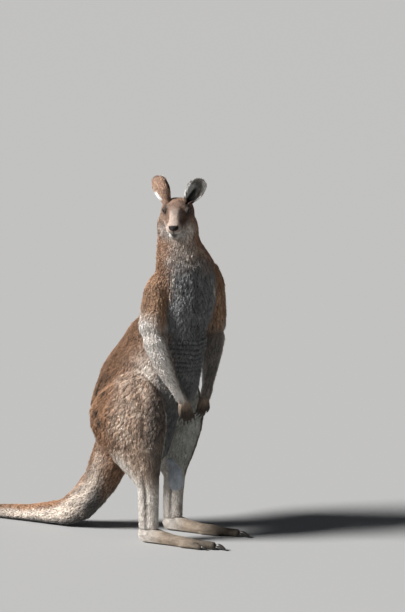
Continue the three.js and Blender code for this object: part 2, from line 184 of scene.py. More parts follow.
# ---- Meshes as arrays and as search trees ----
def rows_of(collection, attribute, columns, kind=np.float32):
    """One attribute of every item of a mesh's collection, a row for each item."""
    flat = np.empty(len(collection) * columns, kind)
    collection.foreach_get(attribute, flat)
    return flat.reshape(-1, columns)


def placed(name, mesh):
    """A new object of the scene that shows the mesh."""
    piece = bpy.data.objects.new(name, mesh)
    bpy.context.scene.collection.objects.link(piece)
    return piece


def solids(*nodes):
    """The meshes of these CAD solids."""
    return [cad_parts[node].data for node in nodes]


def tree_of(meshes):
    """A search tree over the faces of these meshes, in their order."""
    places, faces = [], []
    for mesh in meshes:
        start = len(places)
        places += [v.co.copy() for v in mesh.vertices]
        faces += [[start + i for i in p.vertices] for p in mesh.polygons]
    return BVHTree.FromPolygons(places, faces)


class Surface:
    """Points and faces of a closed mesh, with smoothing along its edges."""

    def __init__(self, mesh):
        mesh.calc_loop_triangles()
        self.points = in_layout(rows_of(mesh.vertices, "co", 3).astype(float))
        self.edges = rows_of(mesh.edges, "vertices", 2, np.int32)
        self.tris = rows_of(mesh.loop_triangles, "vertices", 3, np.int32)
        ends = np.concatenate([self.edges, self.edges[:, ::-1]])
        self.here, self.there = ends[:, 0], ends[:, 1]
        self.valence = np.maximum(np.bincount(self.here, minlength=len(self.points)), 1)

    def put(self, mesh):
        mesh.vertices.foreach_set("co", in_row(self.points).astype(np.float32).ravel())
        mesh.update()

    def neighbours_mean(self, values):
        columns = values[:, None] if values.ndim == 1 else values
        taken = columns[self.there]
        count = len(columns)
        sums = [np.bincount(self.here, taken[:, i], count) for i in range(columns.shape[1])]
        mean = np.stack(sums, 1) / self.valence[:, None]
        return mean[:, 0] if values.ndim == 1 else mean

    def spread(self, values, times):
        """Values evened out along the surface."""
        for _ in range(times):
            values = (values + self.neighbours_mean(values)) / 2
        return values

    def relax(self, weight, times):
        """Points evened out, where weight (0 to 1) says how much."""
        points = self.points
        for _ in range(times):
            points = points + (self.neighbours_mean(points) - points) * (weight / 2)[:, None]
        return points

    def normals(self):
        a, b, c = (self.points[self.tris[:, i]] for i in range(3))
        faces = np.cross(b - a, c - a)
        count = len(self.points)
        flat = self.tris.ravel()
        repeated = np.repeat(faces, 3, axis=0)
        return unit(np.stack([np.bincount(flat, repeated[:, i], count) for i in range(3)], 1))


# ---- Regions ----
# For each kind of solid: how widely its facets are smoothed, the coat's depth over the skin, the
# length of its tufts, the room between them (all mm), and how far the tufts stand up (share).
KINDS = {
    "head": (9, 1.8, 7, 2.1, 0.12),
    "jaw": (8, 1.8, 7, 2.1, 0.12),
    "nose": (7, 0.6, 3, 2.0, 0.1),
    "eye": (4, 0.6, 4, 1.9, 0.1),
    "neck": (20, 3.2, 16, 3.0, 0.13),
    "chest": (20, 4.0, 22, 3.3, 0.16),
    "belly": (24, 4.0, 21, 3.4, 0.14),
    "rump": (22, 3.8, 21, 3.4, 0.16),
    "tail_root": (20, 3.6, 18, 3.2, 0.16),
    "tail_middle": (12, 3.2, 15, 3.0, 0.16),
    "tail_end": (9, 2.8, 13, 2.8, 0.16),
    "tail_tip": (6, 2.4, 12, 2.6, 0.18),
    "scrotum": (8, 1.0, 6, 2.3, 0.12),
    "upper_arm": (16, 3.5, 18, 3.1, 0.16),
    "forearm": (10, 3.0, 15, 2.8, 0.15),
    "hand": (3.5, 0.8, 4, 2.1, 0.1),
    "thigh": (24, 4.0, 20, 3.3, 0.17),
    "shank": (11, 2.4, 12, 2.7, 0.14),
    "foot": (4.5, 1.2, 5.5, 2.3, 0.12),
    "ear": (3, 1.2, 8, 2.2, 0.1),
}
FACE = ("head", "jaw", "nose", "eye")
TAIL = ("tail_root", "tail_middle", "tail_end", "tail_tip")
ARM = ("upper_arm", "forearm", "hand")


def kind_of(node):
    for side in SIDES:
        node = node.removesuffix(f"_{side}")
    return node


def region_values(nodes_here, column):
    """One number for each vertex, from the kind of the nearest solid."""
    table = np.array([KINDS[kind_of(n)][column] for n in SOURCES])
    return table[nodes_here]


SOURCES = [n for n in sorted(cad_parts) if kind_of(n) in KINDS]
FLESH = [n for n in SOURCES if kind_of(n) != "eye"]
ROUGH = [n for n in SOURCES if kind_of(n) not in ("hand", "foot", "ear")]


# ---- Making the skin ----
def joined(objects, name):
    """One object from copies of these, their doubled corners merged."""
    made = bmesh.new()
    for source in objects:
        made.from_mesh(source.data)
    bmesh.ops.remove_doubles(made, verts=made.verts, dist=1e-6)
    mesh = bpy.data.meshes.new(name)
    made.to_mesh(mesh)
    made.free()
    return placed(name, mesh)


def with_modifier(piece, kind, **settings):
    """Applies one modifier to a piece's mesh."""
    modifier = piece.modifiers.new(kind.lower(), kind)
    for key, value in settings.items():
        setattr(modifier, key, value)
    bpy.context.view_layer.update()
    graph = bpy.context.evaluated_depsgraph_get()
    mesh = bpy.data.meshes.new_from_object(piece.evaluated_get(graph), depsgraph=graph)
    piece.modifiers.clear()
    old = piece.data
    piece.data = mesh
    bpy.data.meshes.remove(old)
    return piece


def voxels(piece, size):
    return with_modifier(piece, "REMESH", mode="VOXEL", voxel_size=size * MM, adaptivity=0)


def nearest_nodes(points, nodes):
    """For each point, the index in SOURCES of the nearest of these solids."""
    meshes = solids(*nodes)
    owners = np.repeat([SOURCES.index(n) for n in nodes], [len(mesh.polygons) for mesh in meshes])
    tree = tree_of(meshes)
    return np.array([owners[tree.find_nearest(Vector(place))[2]] for place in in_row(points)])


def rounded(surface, reach, voxel):
    """Smooths facets away over the reach (mm at each point), without letting the form shrink."""
    widest = reach.max()
    times = int((widest / voxel) ** 2 / 0.25) + 1
    weight = (reach / widest) ** 2
    before = surface.points
    after = surface.relax(weight, times)
    surface.points = after
    normals = surface.normals()
    lost = surface.spread(dot(before - after, normals), 4)
    surface.points = after + normals * (surface.spread(lost, 30) * 0.9)[:, None]


ROUGH_VOXEL = 5.0
FINE_VOXEL = 2.6


def rough_body():
    """Trunk, tail, limbs and head with their facets rounded off."""
    piece = voxels(joined([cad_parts[n] for n in ROUGH], "skin"), ROUGH_VOXEL)
    surface = Surface(piece.data)
    here = nearest_nodes(surface.points, ROUGH)
    reach = surface.spread(region_values(here, 0).astype(float), 12)
    rounded(surface, reach, ROUGH_VOXEL)
    surface.put(piece.data)
    return piece


# ---- Ears: thin cups of the solids' size ----
EARS = {
    "right": {"root": (150, -40, 20), "lean": (-0.4, 0.12, 0.92), "open": 150},
    "left": {"root": (150, 36, 20), "lean": (0.58, 0.12, 0.82), "open": -10},
}
# Along the ear: share of its length, then its half width and the depth of its back (of the ear's
# width), and how far round it closes (degrees from the middle of its back).
EAR_SECTIONS = np.array(
    [
        (-0.06, 0.22, 0.2, 165),
        (0.06, 0.26, 0.24, 162),
        (0.15, 0.29, 0.27, 150),
        (0.24, 0.35, 0.31, 122),
        (0.34, 0.43, 0.34, 100),
        (0.5, 0.51, 0.35, 92),
        (0.66, 0.51, 0.3, 90),
        (0.81, 0.46, 0.23, 88),
        (0.9, 0.4, 0.18, 87),
        (0.98, 0.33, 0.13, 86),
    ]
)
EAR_WALL = 3.2


def ear_frame(side):
    """The root, and the directions along the ear, out of its cup and across it."""
    ear = EARS[side]
    outward = unit(HEAD_LEFT * (1, 1, 0))
    lean = ear["lean"]
    axis = unit(outward * lean[0] - heading(HEAD_TURN) * lean[1] + UP * lean[2])
    look = heading(HEAD_TURN - ear["open"])
    look = unit(look - axis * (look @ axis))
    return in_head(*ear["root"]), axis, look, np.cross(look, axis)


def smooth_table(table, count):
    """A table's columns at evenly spaced places along its first, with soft bends."""
    places = np.linspace(table[0, 0], table[-1, 0], count)
    columns = [np.interp(places, table[:, 0], table[:, i]) for i in range(1, table.shape[1])]
    soft = np.array([0.25, 0.5, 0.25])
    for _ in range(count // 5):
        columns = [np.convolve(np.pad(c, 1, mode="edge"), soft, "valid") for c in columns]
    return places, columns


def ear_cup(side):
    """A rolled leaf: a tube at its root that opens into a cup, of even thickness."""
    root, axis, look, across = ear_frame(side)
    rings, sides = 60, 44
    places, (half, back, closing) = smooth_table(EAR_SECTIONS, rings)
    round_tip = np.sqrt(np.clip(1 - np.clip((places - 0.8) / 0.182, 0, 1) ** 2.4, 0.004, 1))
    half, back = half * round_tip, back * round_tip
    angle = np.radians(closing)[:, None] * np.linspace(-1, 1, sides)
    behind = np.cos(angle) * back[:, None] * EAR_WIDTH
    middle = (
        root
        + axis * (places * 0.97 * EAR_LENGTH)[:, None, None]
        - look * np.where(behind > 0, behind, behind * 0.75)[..., None]
        + across * (np.sin(angle) * half[:, None] * EAR_WIDTH)[..., None]
    )
    outward = unit(np.cross(np.gradient(middle, axis=1), np.gradient(middle, axis=0)))
    if (outward[rings // 2, sides // 2] @ look) > 0:
        outward = -outward
    outward[-8:] = outward[-8]
    thin = 0.55 + 0.45 * np.cos(np.linspace(-1, 1, sides) * np.pi / 2)
    shift = outward * (EAR_WALL / 2 * thin * np.clip((1.01 - places) * 9, 0.4, 1)[:, None])[..., None]
    points = np.concatenate([(middle + shift).reshape(-1, 3), (middle - shift).reshape(-1, 3)])
    inner = rings * sides
    faces = []
    for i in range(rings - 1):
        for j in range(sides - 1):
            a, b, c, d = i * sides + j, i * sides + j + 1, (i + 1) * sides + j + 1, (i + 1) * sides + j
            faces += [(a, b, c, d), (inner + d, inner + c, inner + b, inner + a)]
        for j in (0, sides - 1):
            a, d = i * sides + j, (i + 1) * sides + j
            faces.append((a, d, inner + d, inner + a))
    for i in (0, rings - 1):
        for j in range(sides - 1):
            a, b = i * sides + j, i * sides + j + 1
            faces.append((b, a, inner + a, inner + b))
    mesh = bpy.data.meshes.new("ear")
    mesh.from_pydata(in_row(points).tolist(), [], faces)
    made = bmesh.new()
    made.from_mesh(mesh)
    bmesh.ops.recalc_face_normals(made, faces=made.faces)
    made.to_mesh(mesh)
    made.free()
    return placed(f"cup_{side}", mesh)


# ---- Sculpting ----
def near(surface, line, reach):
    """The points in the box round a line, for speed."""
    low = np.min(line, axis=0) - reach
    high = np.max(line, axis=0) + reach
    inside = ((surface.points > low) & (surface.points < high)).all(1)
    return np.flatnonzero(inside)


def swell(surface, normals, centre, reach, height):
    """A soft bump, or a hollow if height is below nought."""
    here = near(surface, [centre], reach * 2.5)
    away = apart(surface.points[here], centre)
    surface.points[here] += normals[here] * (height * bell(away, reach))[:, None]


def pinned(surface, line):
    """The line with more points, each moved to the nearest point of the surface."""
    line = np.asarray(line, float)
    shares = np.arange(0, len(line) - 0.999, 0.25)
    dense = np.stack([np.interp(shares, np.arange(len(line)), line[:, i]) for i in range(3)], 1)
    points = surface.points[near(surface, line, 30)]
    return np.array([points[np.argmin(((points - p) ** 2).sum(1))] for p in dense])


def crease(surface, normals, line, width, depth, ridge=0.0):
    """A groove along a line of points, fading at its ends, with a ridge on each bank."""
    line = pinned(surface, line)
    here = near(surface, line, width * 4)
    away, place = along_line(surface.points[here], line)
    fade = np.sin(np.pi * np.clip(place, 0.02, 0.98)) ** 0.5
    lift = ridge * bell(away - 2 * width, width) - depth * bell(away, width)
    surface.points[here] += normals[here] * (lift * fade)[:, None]


def both_sides(line):
    """The line for each side of the animal."""
    return [np.array(line, float) * (sign, 1, 1) for sign in (1, -1)]


def on_head(side, *places):
    return np.array([in_head(behind, SIDES[side] * out, up) for behind, out, up in places])


# ---- What the photograph shows ----
# The photograph's camera: the place it is aimed at, its turn and rise from there in degrees, how far
# it stands, its lens and sensor, and the picture's size in pixels.
AIM = np.array([78.6, -168.5, 1036])
CAMERA_TURN, CAMERA_RISE = -65, 10
CAMERA_AWAY = 14_000
LENS, SENSOR = 188, 36
PICTURE = (405, 612)
RISE = math.radians(CAMERA_RISE)
TO_CAMERA = heading(CAMERA_TURN) * math.cos(RISE) + UP * math.sin(RISE)
IMAGE_RIGHT = heading(CAMERA_TURN + 90)
IMAGE_UP = np.cross(TO_CAMERA, IMAGE_RIGHT)
CAMERA_PLACE = in_row(AIM + TO_CAMERA * CAMERA_AWAY)


def seen(meshes, *pixels):
    """Where the sight lines through these pixels of the photograph first meet the meshes."""
    tree = tree_of(meshes)
    pixel = SENSOR / LENS * CAMERA_AWAY / PICTURE[1]
    hits = []
    for across, down in pixels:
        aside = IMAGE_RIGHT * (across - PICTURE[0] / 2) + IMAGE_UP * (PICTURE[1] / 2 - down)
        sight = Vector(aside * pixel - TO_CAMERA * CAMERA_AWAY).normalized()
        hits.append(tree.ray_cast(Vector(CAMERA_PLACE), sight)[0])
    return in_layout(np.array(hits))


# Lines and places picked on the photograph and written in its pixels. Those of the flank, the leg,
# the armpit and the jaw lie on the right of the body.
BELLY = solids("belly")
HIND = solids("thigh_right", "belly", "rump")
LOW_LEG = solids("shank_right", "thigh_right")
TRUNK = solids("neck", "chest", "belly")
FLANK_FOLD = seen(BELLY, (146, 363), (152, 369), (158.5, 376), (167.5, 384.5), (172.5, 390))
GROIN_FOLD = seen(BELLY, (142, 374), (150, 380), (158, 388), (163, 392), (170, 398))
THIGH_TOP = seen(HIND, (116, 383), (127, 378), (135, 375.5), (144, 375.5), (152, 383), (157, 390))
THIGH_SEAM = seen(HIND, (137, 387), (141, 401), (143, 415), (145, 430), (145, 445))
KNEE_FOLD = seen(LOW_LEG, (125, 452), (127, 460), (129, 470))
SHANK_GROOVE = seen(LOW_LEG, (144, 481), (145, 496), (145, 515), (145, 530))
CHEST_CREASE = seen(TRUNK, (197.5, 266), (197.5, 285), (197.5, 300), (197.5, 315), (197.5, 334))
ARMPIT = seen(solids("chest"), (167, 287), (167, 296), (167, 306), (168, 318), (169, 330))
UNDER_EDGE = seen(LOW_LEG, (119.5, 462.5), (126.5, 472.5), (134.5, 484))
LOW_FLANK = seen(BELLY, (149, 371))
JAW_RUFF = seen(solids("head", "jaw", "neck"), (162, 229))
BREAST = seen(solids("chest"), (184, 308))[0]
THROAT_RUFF = seen(TRUNK, (203, 250), (211, 263))

# Lines that the photograph hides or only hints at, as places on the body.
THIGH_EDGE = [(-140, -88, 650), (-138, -104, 600), (-140, -108, 545)]
HAM_SEAM = [(-228, 150, 600), (-236, 110, 530), (-222, 90, 460), (-196, 74, 400)]
SHANK_GROOVE_INSIDE = [(-97, -3, 280), (-94, -3, 210), (-92, 0, 130), (-92, 2, 60)]
FAR_ARMPIT = [(52, -252, 1120), (58, -244, 1060), (62, -236, 1000), (66, -228, 945)]
THROAT_FOLD = [(-130, -150, 1290), (-100, -185, 1262), (-60, -196, 1250), (-20, -180, 1262)]
FAR_BREAST = (8, -246, 1070)

# Grooves: the line, its width, its depth and the height of its banks.
PAIRED_GROOVES = [
    (FLANK_FOLD, 7, 4.5, 3.5), (GROIN_FOLD, 7, 4.5, 3.5), ([*THIGH_TOP, *THIGH_EDGE], 9, 6, 2),
    (THIGH_SEAM, 17, 6, 2), (HAM_SEAM, 14, 4, 2), (KNEE_FOLD, 7, 4, 2),
    (SHANK_GROOVE, 8, 7, 1), (SHANK_GROOVE_INSIDE, 8, 7, 1),
]
SINGLE_GROOVES = [
    (CHEST_CREASE, 11, 7, 2), (ARMPIT, 8, 6, 1), (FAR_ARMPIT, 8, 6, 1), (THROAT_FOLD, 12, 4, 2),
]
# Places where muscle or a fuller coat stands out: middle, reach and height.
FULLER = [
    (BREAST, 48, 7), (FAR_BREAST, 42, 7), (THROAT_RUFF[0], 46, 13), (THROAT_RUFF[1], 44, 12),
    ((80, -235, 655), 32, 8),
]


# Rows of the trunk, as part.mjs has them: height, place of the middle and turn of its front.
TRUNK_ROWS = [
    (334, 190, 0), (450, 167, 0), (590, 135, -4), (680, 95, -7), (750, 60, -11), (820, 18, -16),
    (880, -20, -20), (940, -40, -24), (1020, -92, -30), (1090, -115, -34), (1165, -124, -36),
    (1235, -115, -41), (1300, -93, -48), (1436, -90, -66),
]


def trunk_middle(heights):
    """The trunk's centre line and the way its front faces, by height."""
    rows = np.array(TRUNK_ROWS).T
    return np.interp(heights, rows[0], rows[1]), np.radians(np.interp(heights, rows[0], rows[2]))


def round_trunk(points):
    """How far each point lies round the trunk: 0 in front, pi behind, below nought on the right."""
    y, turn = trunk_middle(points[:, 2])
    x, y = points[:, 0], points[:, 1] - y
    ahead = np.sin(turn) * x - np.cos(turn) * y
    aside = np.cos(turn) * x + np.sin(turn) * y
    return np.arctan2(aside, ahead)


def sculpt_body(surface, normals, belly):
    for line, *sizes in PAIRED_GROOVES:
        for mirrored in both_sides(line):
            crease(surface, normals, mirrored, *sizes)
    for line, *sizes in SINGLE_GROOVES:
        crease(surface, normals, line, *sizes)
    for place, reach, height in FULLER:
        swell(surface, normals, place, reach, height)
    wrinkle_belly(surface, normals, belly)


WRINKLE_SPACING, WRINKLE_HEIGHT = 19, 2.2
WRINKLES_LOW, WRINKLES_HIGH = (745, 790), (915, 950)


def wrinkle_belly(surface, normals, belly):
    """Soft level wrinkles across the belly."""
    points = surface.points
    angle = round_trunk(points)
    level = ramp(points[:, 2], *WRINKLES_LOW) * (1 - ramp(points[:, 2], *WRINKLES_HIGH))
    zone = level * ramp(np.cos(angle), 0.5, 0.85)
    bend = 10 * noise(points, 70, 5) + 9 * np.cos(2.2 * angle)
    wave = np.sin((points[:, 2] + bend) * 2 * np.pi / WRINKLE_SPACING)
    surface.points = points + normals * (WRINKLE_HEIGHT * zone * belly * wave)[:, None]


# Bumps and hollows of the head: the place behind, out and up, then reach and height.
CHIN = ((22, 0, -66), 14, 1.5)
BRIDGE = [((50, 0, 12), 11, 1.5), ((70, 0, 20), 11, 1.5), ((90, 0, 28), 11, 1.5)]
BRIDGE_SIDES = [
    ((64, 40, -2), 17, -6), ((84, 47, 2), 15, -5), ((44, 33, -6), 13, -3), ((62, 25, 10), 13, -4),
    ((82, 28, 17), 14, -4.5), ((42, 22, 4), 11, -3), ((102, 30, 28), 13, -3),
]
BROW_AND_CHEEK = [
    ((104, 47, 36), 15, 4), ((134, 60, 8), 14, 1.5), ((146, 62, 30), 17, -3.5), ((76, 46, 4), 20, -3.5),
    ((96, 56, -12), 18, 1.5), ((130, 66, -32), 30, 3.5), ((22, 27, -25), 15, 3.5), ((12, 20, 8), 8, 1.5),
]
LIP_SPLIT = [(2, 0, -7), (5, 0, -20), (9, 0, -38)]
NOSTRIL = [(0, 6, -3), (2, 11, -1), (6, 16, 3), (12, 20, 4)]
TEAR = [(104, 50, 10), (88, 47, 3), (70, 43, -3)]
MOUTH = [(9, 1, -38), (14, 13, -40), (28, 24, -44), (50, 30, -47), (70, 33, -49), (84, 36, -46)]
NAPE = [((52, -85, 1452), 30, 8), ((60, -78, 1425), 34, 8)]
HEAD_GROOVES = [(MOUTH, 2.2, 2.8, 1), (NOSTRIL, 2.8, 6, 0.8), (TEAR, 5, 1.8, 0.6)]


def swell_head(surface, normals, side, bumps):
    for place, reach, height in bumps:
        swell(surface, normals, on_head(side, place)[0], reach, height)


def sculpt_head(surface, normals):
    swell_head(surface, normals, "left", [CHIN])
    for place, reach, height in NAPE:
        swell(surface, normals, np.array(place), reach, height)
    swell_head(surface, normals, "left", BRIDGE)
    for side in SIDES:
        swell_head(surface, normals, side, BRIDGE_SIDES)
    crease(surface, normals, on_head("left", *LIP_SPLIT), 1.6, 1.8)
    for side in SIDES:
        swell_head(surface, normals, side, BROW_AND_CHEEK)
        for line, *sizes in HEAD_GROOVES:
            crease(surface, normals, on_head(side, *line), *sizes)


def eye_frame(side):
    """The eyeball's middle, and the directions it looks, towards the nose and up."""
    sign = SIDES[side]
    look = unit(HEAD_LEFT * sign * 0.9 + HEAD_FORWARD * 0.42 + HEAD_UP * 0.1)
    fore = unit(HEAD_FORWARD - look * (HEAD_FORWARD @ look))
    rise = np.cross(fore, look) * sign
    rise = rise * np.sign(rise @ HEAD_UP)
    return on_head(side, (EYE_BEHIND_NOSE, EYE_SPREAD, EYE_HEIGHT))[0], look, fore, rise


# The opening between the lids: half its length, its upper and lower height, and its slope; then how
# far the lids lie above the eyeball, the dip behind their rim, and the skin's depth inside them.
EYE_HALF, EYE_UPPER, EYE_LOWER, EYE_SLOPE = 13.5, 9, 7.4, 0.03
LID_THICK, LID_DIP = 2.4, 1.4
SUNK = 0.72


def lid_gap(x, y):
    """How far a place on the eyeball lies outside the opening between the lids (mm)."""
    arch = np.maximum(1 - (x / EYE_HALF) ** 2, 0)
    tilt = EYE_SLOPE * x
    outside = np.maximum(y - tilt - EYE_UPPER * arch, -EYE_LOWER * arch - (y - tilt))
    return np.maximum(outside, np.abs(x) - EYE_HALF)


def on_eye(side, points):
    """For each point: the way from the eye's middle, its length, how far in front, and the lid gap."""
    middle, look, fore, rise = eye_frame(side)
    rel = points - middle
    away = np.linalg.norm(rel, axis=1)
    facing = rel @ look
    x = np.arctan2(rel @ fore, facing) * EYE_RADIUS
    y = np.arcsin(np.clip(rel @ rise / np.maximum(away, 1e-6), -1, 1)) * EYE_RADIUS
    return rel, away, facing, lid_gap(x, y)


def set_lids(surface, side):
    """Lids that lie on the eyeball round an almond opening; inside it the skin sinks away."""
    middle = eye_frame(side)[0]
    here = near(surface, [middle], EYE_RADIUS * 2.4)
    rel, away, facing, gap = on_eye(side, surface.points[here])
    rim = EYE_RADIUS + LID_THICK - LID_DIP * bell(gap - 4.6, 1.6)
    lid = mix(EYE_RADIUS * SUNK, rim, ramp(gap, -1.2, 0.6))
    hold = (1 - ramp(gap, 4, 11)) * ramp(facing, -2, 3)
    new = mix(away, lid, hold)
    over = (gap > 0.6) & (facing > -3)
    new[over] = np.maximum(new[over], EYE_RADIUS + 1.2)
    surface.points[here] = middle + rel / away[:, None] * new[:, None]


# ---- Hands and feet ----
FAN = 13
TOES = {"great": (2, 0.62, 1, 21), "outer": (31, 0.56, 0.84, 13.5), "inner": (-24, 0.5, 0.73, 9)}


def hand_frame(side):
    down = unit(np.subtract(KNUCKLES[side], WRIST[side]))
    forward = heading(CHEST_TURN + 8 * SIDES[side])
    forward = unit(forward - down * (forward @ down))
    return down, forward, np.cross(forward, down) * -SIDES[side]


def finger_point(side, index, along, lift=0.0):
    """A point along a finger's middle line; lift moves it towards the back of the hand."""
    down, forward, across = hand_frame(side)
    fan = index - 2
    bend = max(0, along - 0.35)
    reach = np.linalg.norm(np.subtract(KNUCKLES[side], FINGERTIPS[side])) * (0.8 if index == 0 else 1)
    drop = along * reach * (1 - 0.1 * bend) - abs(fan) * 3 - (9 if index == 0 else 0)
    return (
        np.array(KNUCKLES[side], float)
        + down * drop
        + across * fan * (FAN + along * 3)
        + forward * (6 - 9 * bend * bend + lift)
    )


def sculpt_hands(surface, normals):
    for side in SIDES:
        for index in range(5):
            for along, height in ((0.0, 1.6), (0.5, 1.2)):
                swell(surface, normals, finger_point(side, index, along, 8), 5, height)
        for index in (0.5, 1.5, 2.5, 3.5):
            for lift in (8, -7):
                line = [finger_point(side, index, along, lift) for along in (-0.7, 0, 0.5, 1)]
                crease(surface, normals, line, 2.8, 4.6 if lift > 0 else 3)


def foot_point(side, out, share, height):
    return np.array([SIDES[side] * (LEG_SPREAD + out), HEEL - share * FOOT_LENGTH, height])


def sculpt_feet(surface, normals):
    for side in SIDES:
        for out, start in ((17, 0.45), (-14, 0.4)):
            line = [foot_point(side, out, share, 40 - 22 * share) for share in (start, 0.6, 0.75, 0.84)]
            crease(surface, normals, line, 4, 3, 1)
        for out, _, end, radius in TOES.values():
            for back in (0.05, 0.12):
                swell(surface, normals, foot_point(side, out, end - back, radius * 1.8), radius * 0.5, 1.2)


def on_kinds(here, kinds):
    """1 for each point whose nearest solid is of these kinds, else 0."""
    return np.isin(here, [i for i, n in enumerate(SOURCES) if kind_of(n) in kinds]).astype(float)


# The part of the head whose mesh is split finer: how far behind, how high on it, and above the floor.
FINE_BEHIND, FINE_UP, FINE_ABOVE = 150, -100, 1340


def finer_head(piece):
    """Splits the faces of the front of the head, so that lids and nostrils have room."""
    made = bmesh.new()
    made.from_mesh(piece.data)
    made.verts.ensure_lookup_table()
    points = in_layout(np.array([v.co for v in made.verts]))
    places = head_places(points)
    inside = (places[:, 0] < FINE_BEHIND) & (places[:, 2] > FINE_UP) & (points[:, 2] > FINE_ABOVE)
    edges = [e for e in made.edges if inside[e.verts[0].index] and inside[e.verts[1].index]]
    bmesh.ops.subdivide_edges(made, edges=edges, cuts=1, use_grid_fill=True)
    made.to_mesh(piece.data)
    made.free()
    return piece


def fine_body(rough):
    """The rough body joined to hands and feet on a finer mesh, sculpted, with its ears set on."""
    fine = [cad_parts[n] for n in FLESH if kind_of(n) in ("hand", "foot")]
    piece = voxels(joined([rough, *fine], "skin"), FINE_VOXEL)
    bpy.data.objects.remove(rough)
    finer_head(piece)
    surface = Surface(piece.data)
    here = nearest_nodes(surface.points, [n for n in SOURCES if kind_of(n) != "ear"])
    soft = on_kinds(here, ("hand", "foot"))
    weight = 0.25 + 0.75 * surface.spread(soft, 4)
    surface.points = surface.relax(weight, 10)
    depth = surface.spread(region_values(here, 1).astype(float), 20)
    normals = surface.spread(surface.normals(), 2)
    surface.points = surface.points - unit(normals) * depth[:, None]
    normals = unit(surface.spread(surface.normals(), 4))
    belly = surface.spread(on_kinds(here, ("belly", "chest")), 6)
    sculpt_body(surface, normals, belly)
    sculpt_hands(surface, normals)
    sculpt_feet(surface, normals)
    normals = unit(surface.spread(surface.normals(), 2))
    sculpt_head(surface, normals)
    surface.points = surface.relax(np.full(len(surface.points), 0.5), 2)
    for side in SIDES:
        set_lids(surface, side)
    surface.points[:, 2] = np.maximum(surface.points[:, 2], 0.3)
    surface.put(piece.data)
    for side in SIDES:
        cup = ear_cup(side)
        with_modifier(piece, "BOOLEAN", operation="UNION", solver="MANIFOLD", object=cup)
        bpy.data.objects.remove(cup)
    return piece


# ---- Thinning and unwrapping the skin ----
SKIN_TRIANGLES = 192_000
KEEP_FINE = {"head": 0.25, "jaw": 0.25, "nose": 0.15, "eye": 0.1, "ear": 0.3, "hand": 0.25, "foot": 0.35}


def thinned(piece):
    """Fewer triangles, most of them left on the head, hands and feet."""
    surface = Surface(piece.data)
    here = nearest_nodes(surface.points, SOURCES)
    table = np.array([KEEP_FINE.get(kind_of(n), 1.0) for n in SOURCES])
    weights = surface.spread(table[here], 4)
    group = piece.vertex_groups.new(name="thin")
    for level in range(1, 11):
        chosen = np.flatnonzero(np.rint(weights * 10).astype(int) == level)
        group.add(chosen.tolist(), level / 10, "REPLACE")
    ratio = SKIN_TRIANGLES / len(surface.tris)
    fewer = {"ratio": ratio, "vertex_group": "thin", "vertex_group_factor": 1.0}
    with_modifier(piece, "DECIMATE", use_collapse_triangulate=True, **fewer)
    piece.vertex_groups.clear()
    return piece


def unwrapped(piece):
    """The skin's own unwrap, which the coat's tufts take their places from."""
    piece.data.uv_layers.new(name="OFBake")
    bpy.context.view_layer.objects.active = piece
    piece.select_set(True)
    bpy.ops.object.mode_set(mode="EDIT")
    bpy.ops.mesh.select_all(action="SELECT")
    bpy.ops.uv.smart_project(angle_limit=1.15, island_margin=0.004, scale_to_bounds=True)
    bpy.ops.object.mode_set(mode="OBJECT")
    piece.select_set(False)
    return piece


skin = unwrapped(thinned(fine_body(rough_body())))


# ---- Where each region's marks lie ----
def colour(*values):
    return np.array(values, float)


# Colours are shares of red, green and blue light that the hair sends back.
BACK = colour(0.2, 0.108, 0.06)
FLANK = colour(0.285, 0.165, 0.1)
BELLY_GREY = colour(0.185, 0.187, 0.187)
THROAT = colour(0.47, 0.385, 0.32)
NECK = colour(0.37, 0.215, 0.135)
THIGH = colour(0.46, 0.33, 0.245)
THIGH_PALE = colour(0.72, 0.59, 0.48)
INNER_THIGH = colour(0.6, 0.6, 0.55)
# Painted shade: the front of the thigh, turned from the light, painted dark grey-brown.
THIGH_FRONT_SHADE = colour(0.15, 0.122, 0.102)
RUMP_RED = colour(0.33, 0.18, 0.1)
CREAM = colour(0.72, 0.65, 0.58)
UPPER_ARM = colour(0.39, 0.24, 0.15)
# The forearm's pale rear and grey front: partly its own two tones, partly painted light, pale as if lit and
# grey as painted shade.
ARM_PALE_AND_LIT = colour(0.74, 0.67, 0.61)
ARM_GREY_AND_SHADE = colour(0.2, 0.18, 0.16)
HAND_BROWN = colour(0.36, 0.27, 0.2)
HAND_DARK = colour(0.09, 0.07, 0.055)
FOOT_BROWN = colour(0.36, 0.285, 0.215)
FOOT_DARK = colour(0.13, 0.105, 0.08)
TAIL_TOP = colour(0.29, 0.16, 0.09)
TAIL_SIDE = colour(0.6, 0.51, 0.43)
# Painted shade: the tail's underside, turned from the light, painted dark grey.
TAIL_UNDER_SHADE = colour(0.13, 0.12, 0.11)
TAIL_TIP = colour(0.09, 0.07, 0.058)
BLUE_WHITE = colour(0.62, 0.66, 0.72)
FACE_BROWN = colour(0.27, 0.17, 0.12)
CROWN = colour(0.31, 0.205, 0.15)
MUZZLE = colour(0.47, 0.37, 0.31)
CHEEK = colour(0.53, 0.45, 0.4)
LIPS = colour(0.6, 0.55, 0.49)
BLACK_SKIN = colour(0.013, 0.011, 0.01)
EYE_RING = colour(0.085, 0.06, 0.048)
EAR_BACK = colour(0.4, 0.26, 0.185)
EAR_INSIDE = colour(0.46, 0.43, 0.39)
EAR_WHITE = colour(0.88, 0.86, 0.82)

# Pale hair at the jaw's corner and beside the lips, as places on the head.
JAW_CORNER = (92, 50, -62)
LIP_SIDE = (30, 35, -50)
# Dark marks on the rump, in the photograph's pixels, and one on the far side; then their sizes.
SPOTS = seen([skin.data], (107, 379), (99, 386), (93, 402), (104, 393), (97, 414), (99, 422))
FAR_SPOT = (96, 235, 700)
SPOT_SIZES = (1.2, 1.3, 1.0, 0.7, 1.1, 0.9, 0.8)
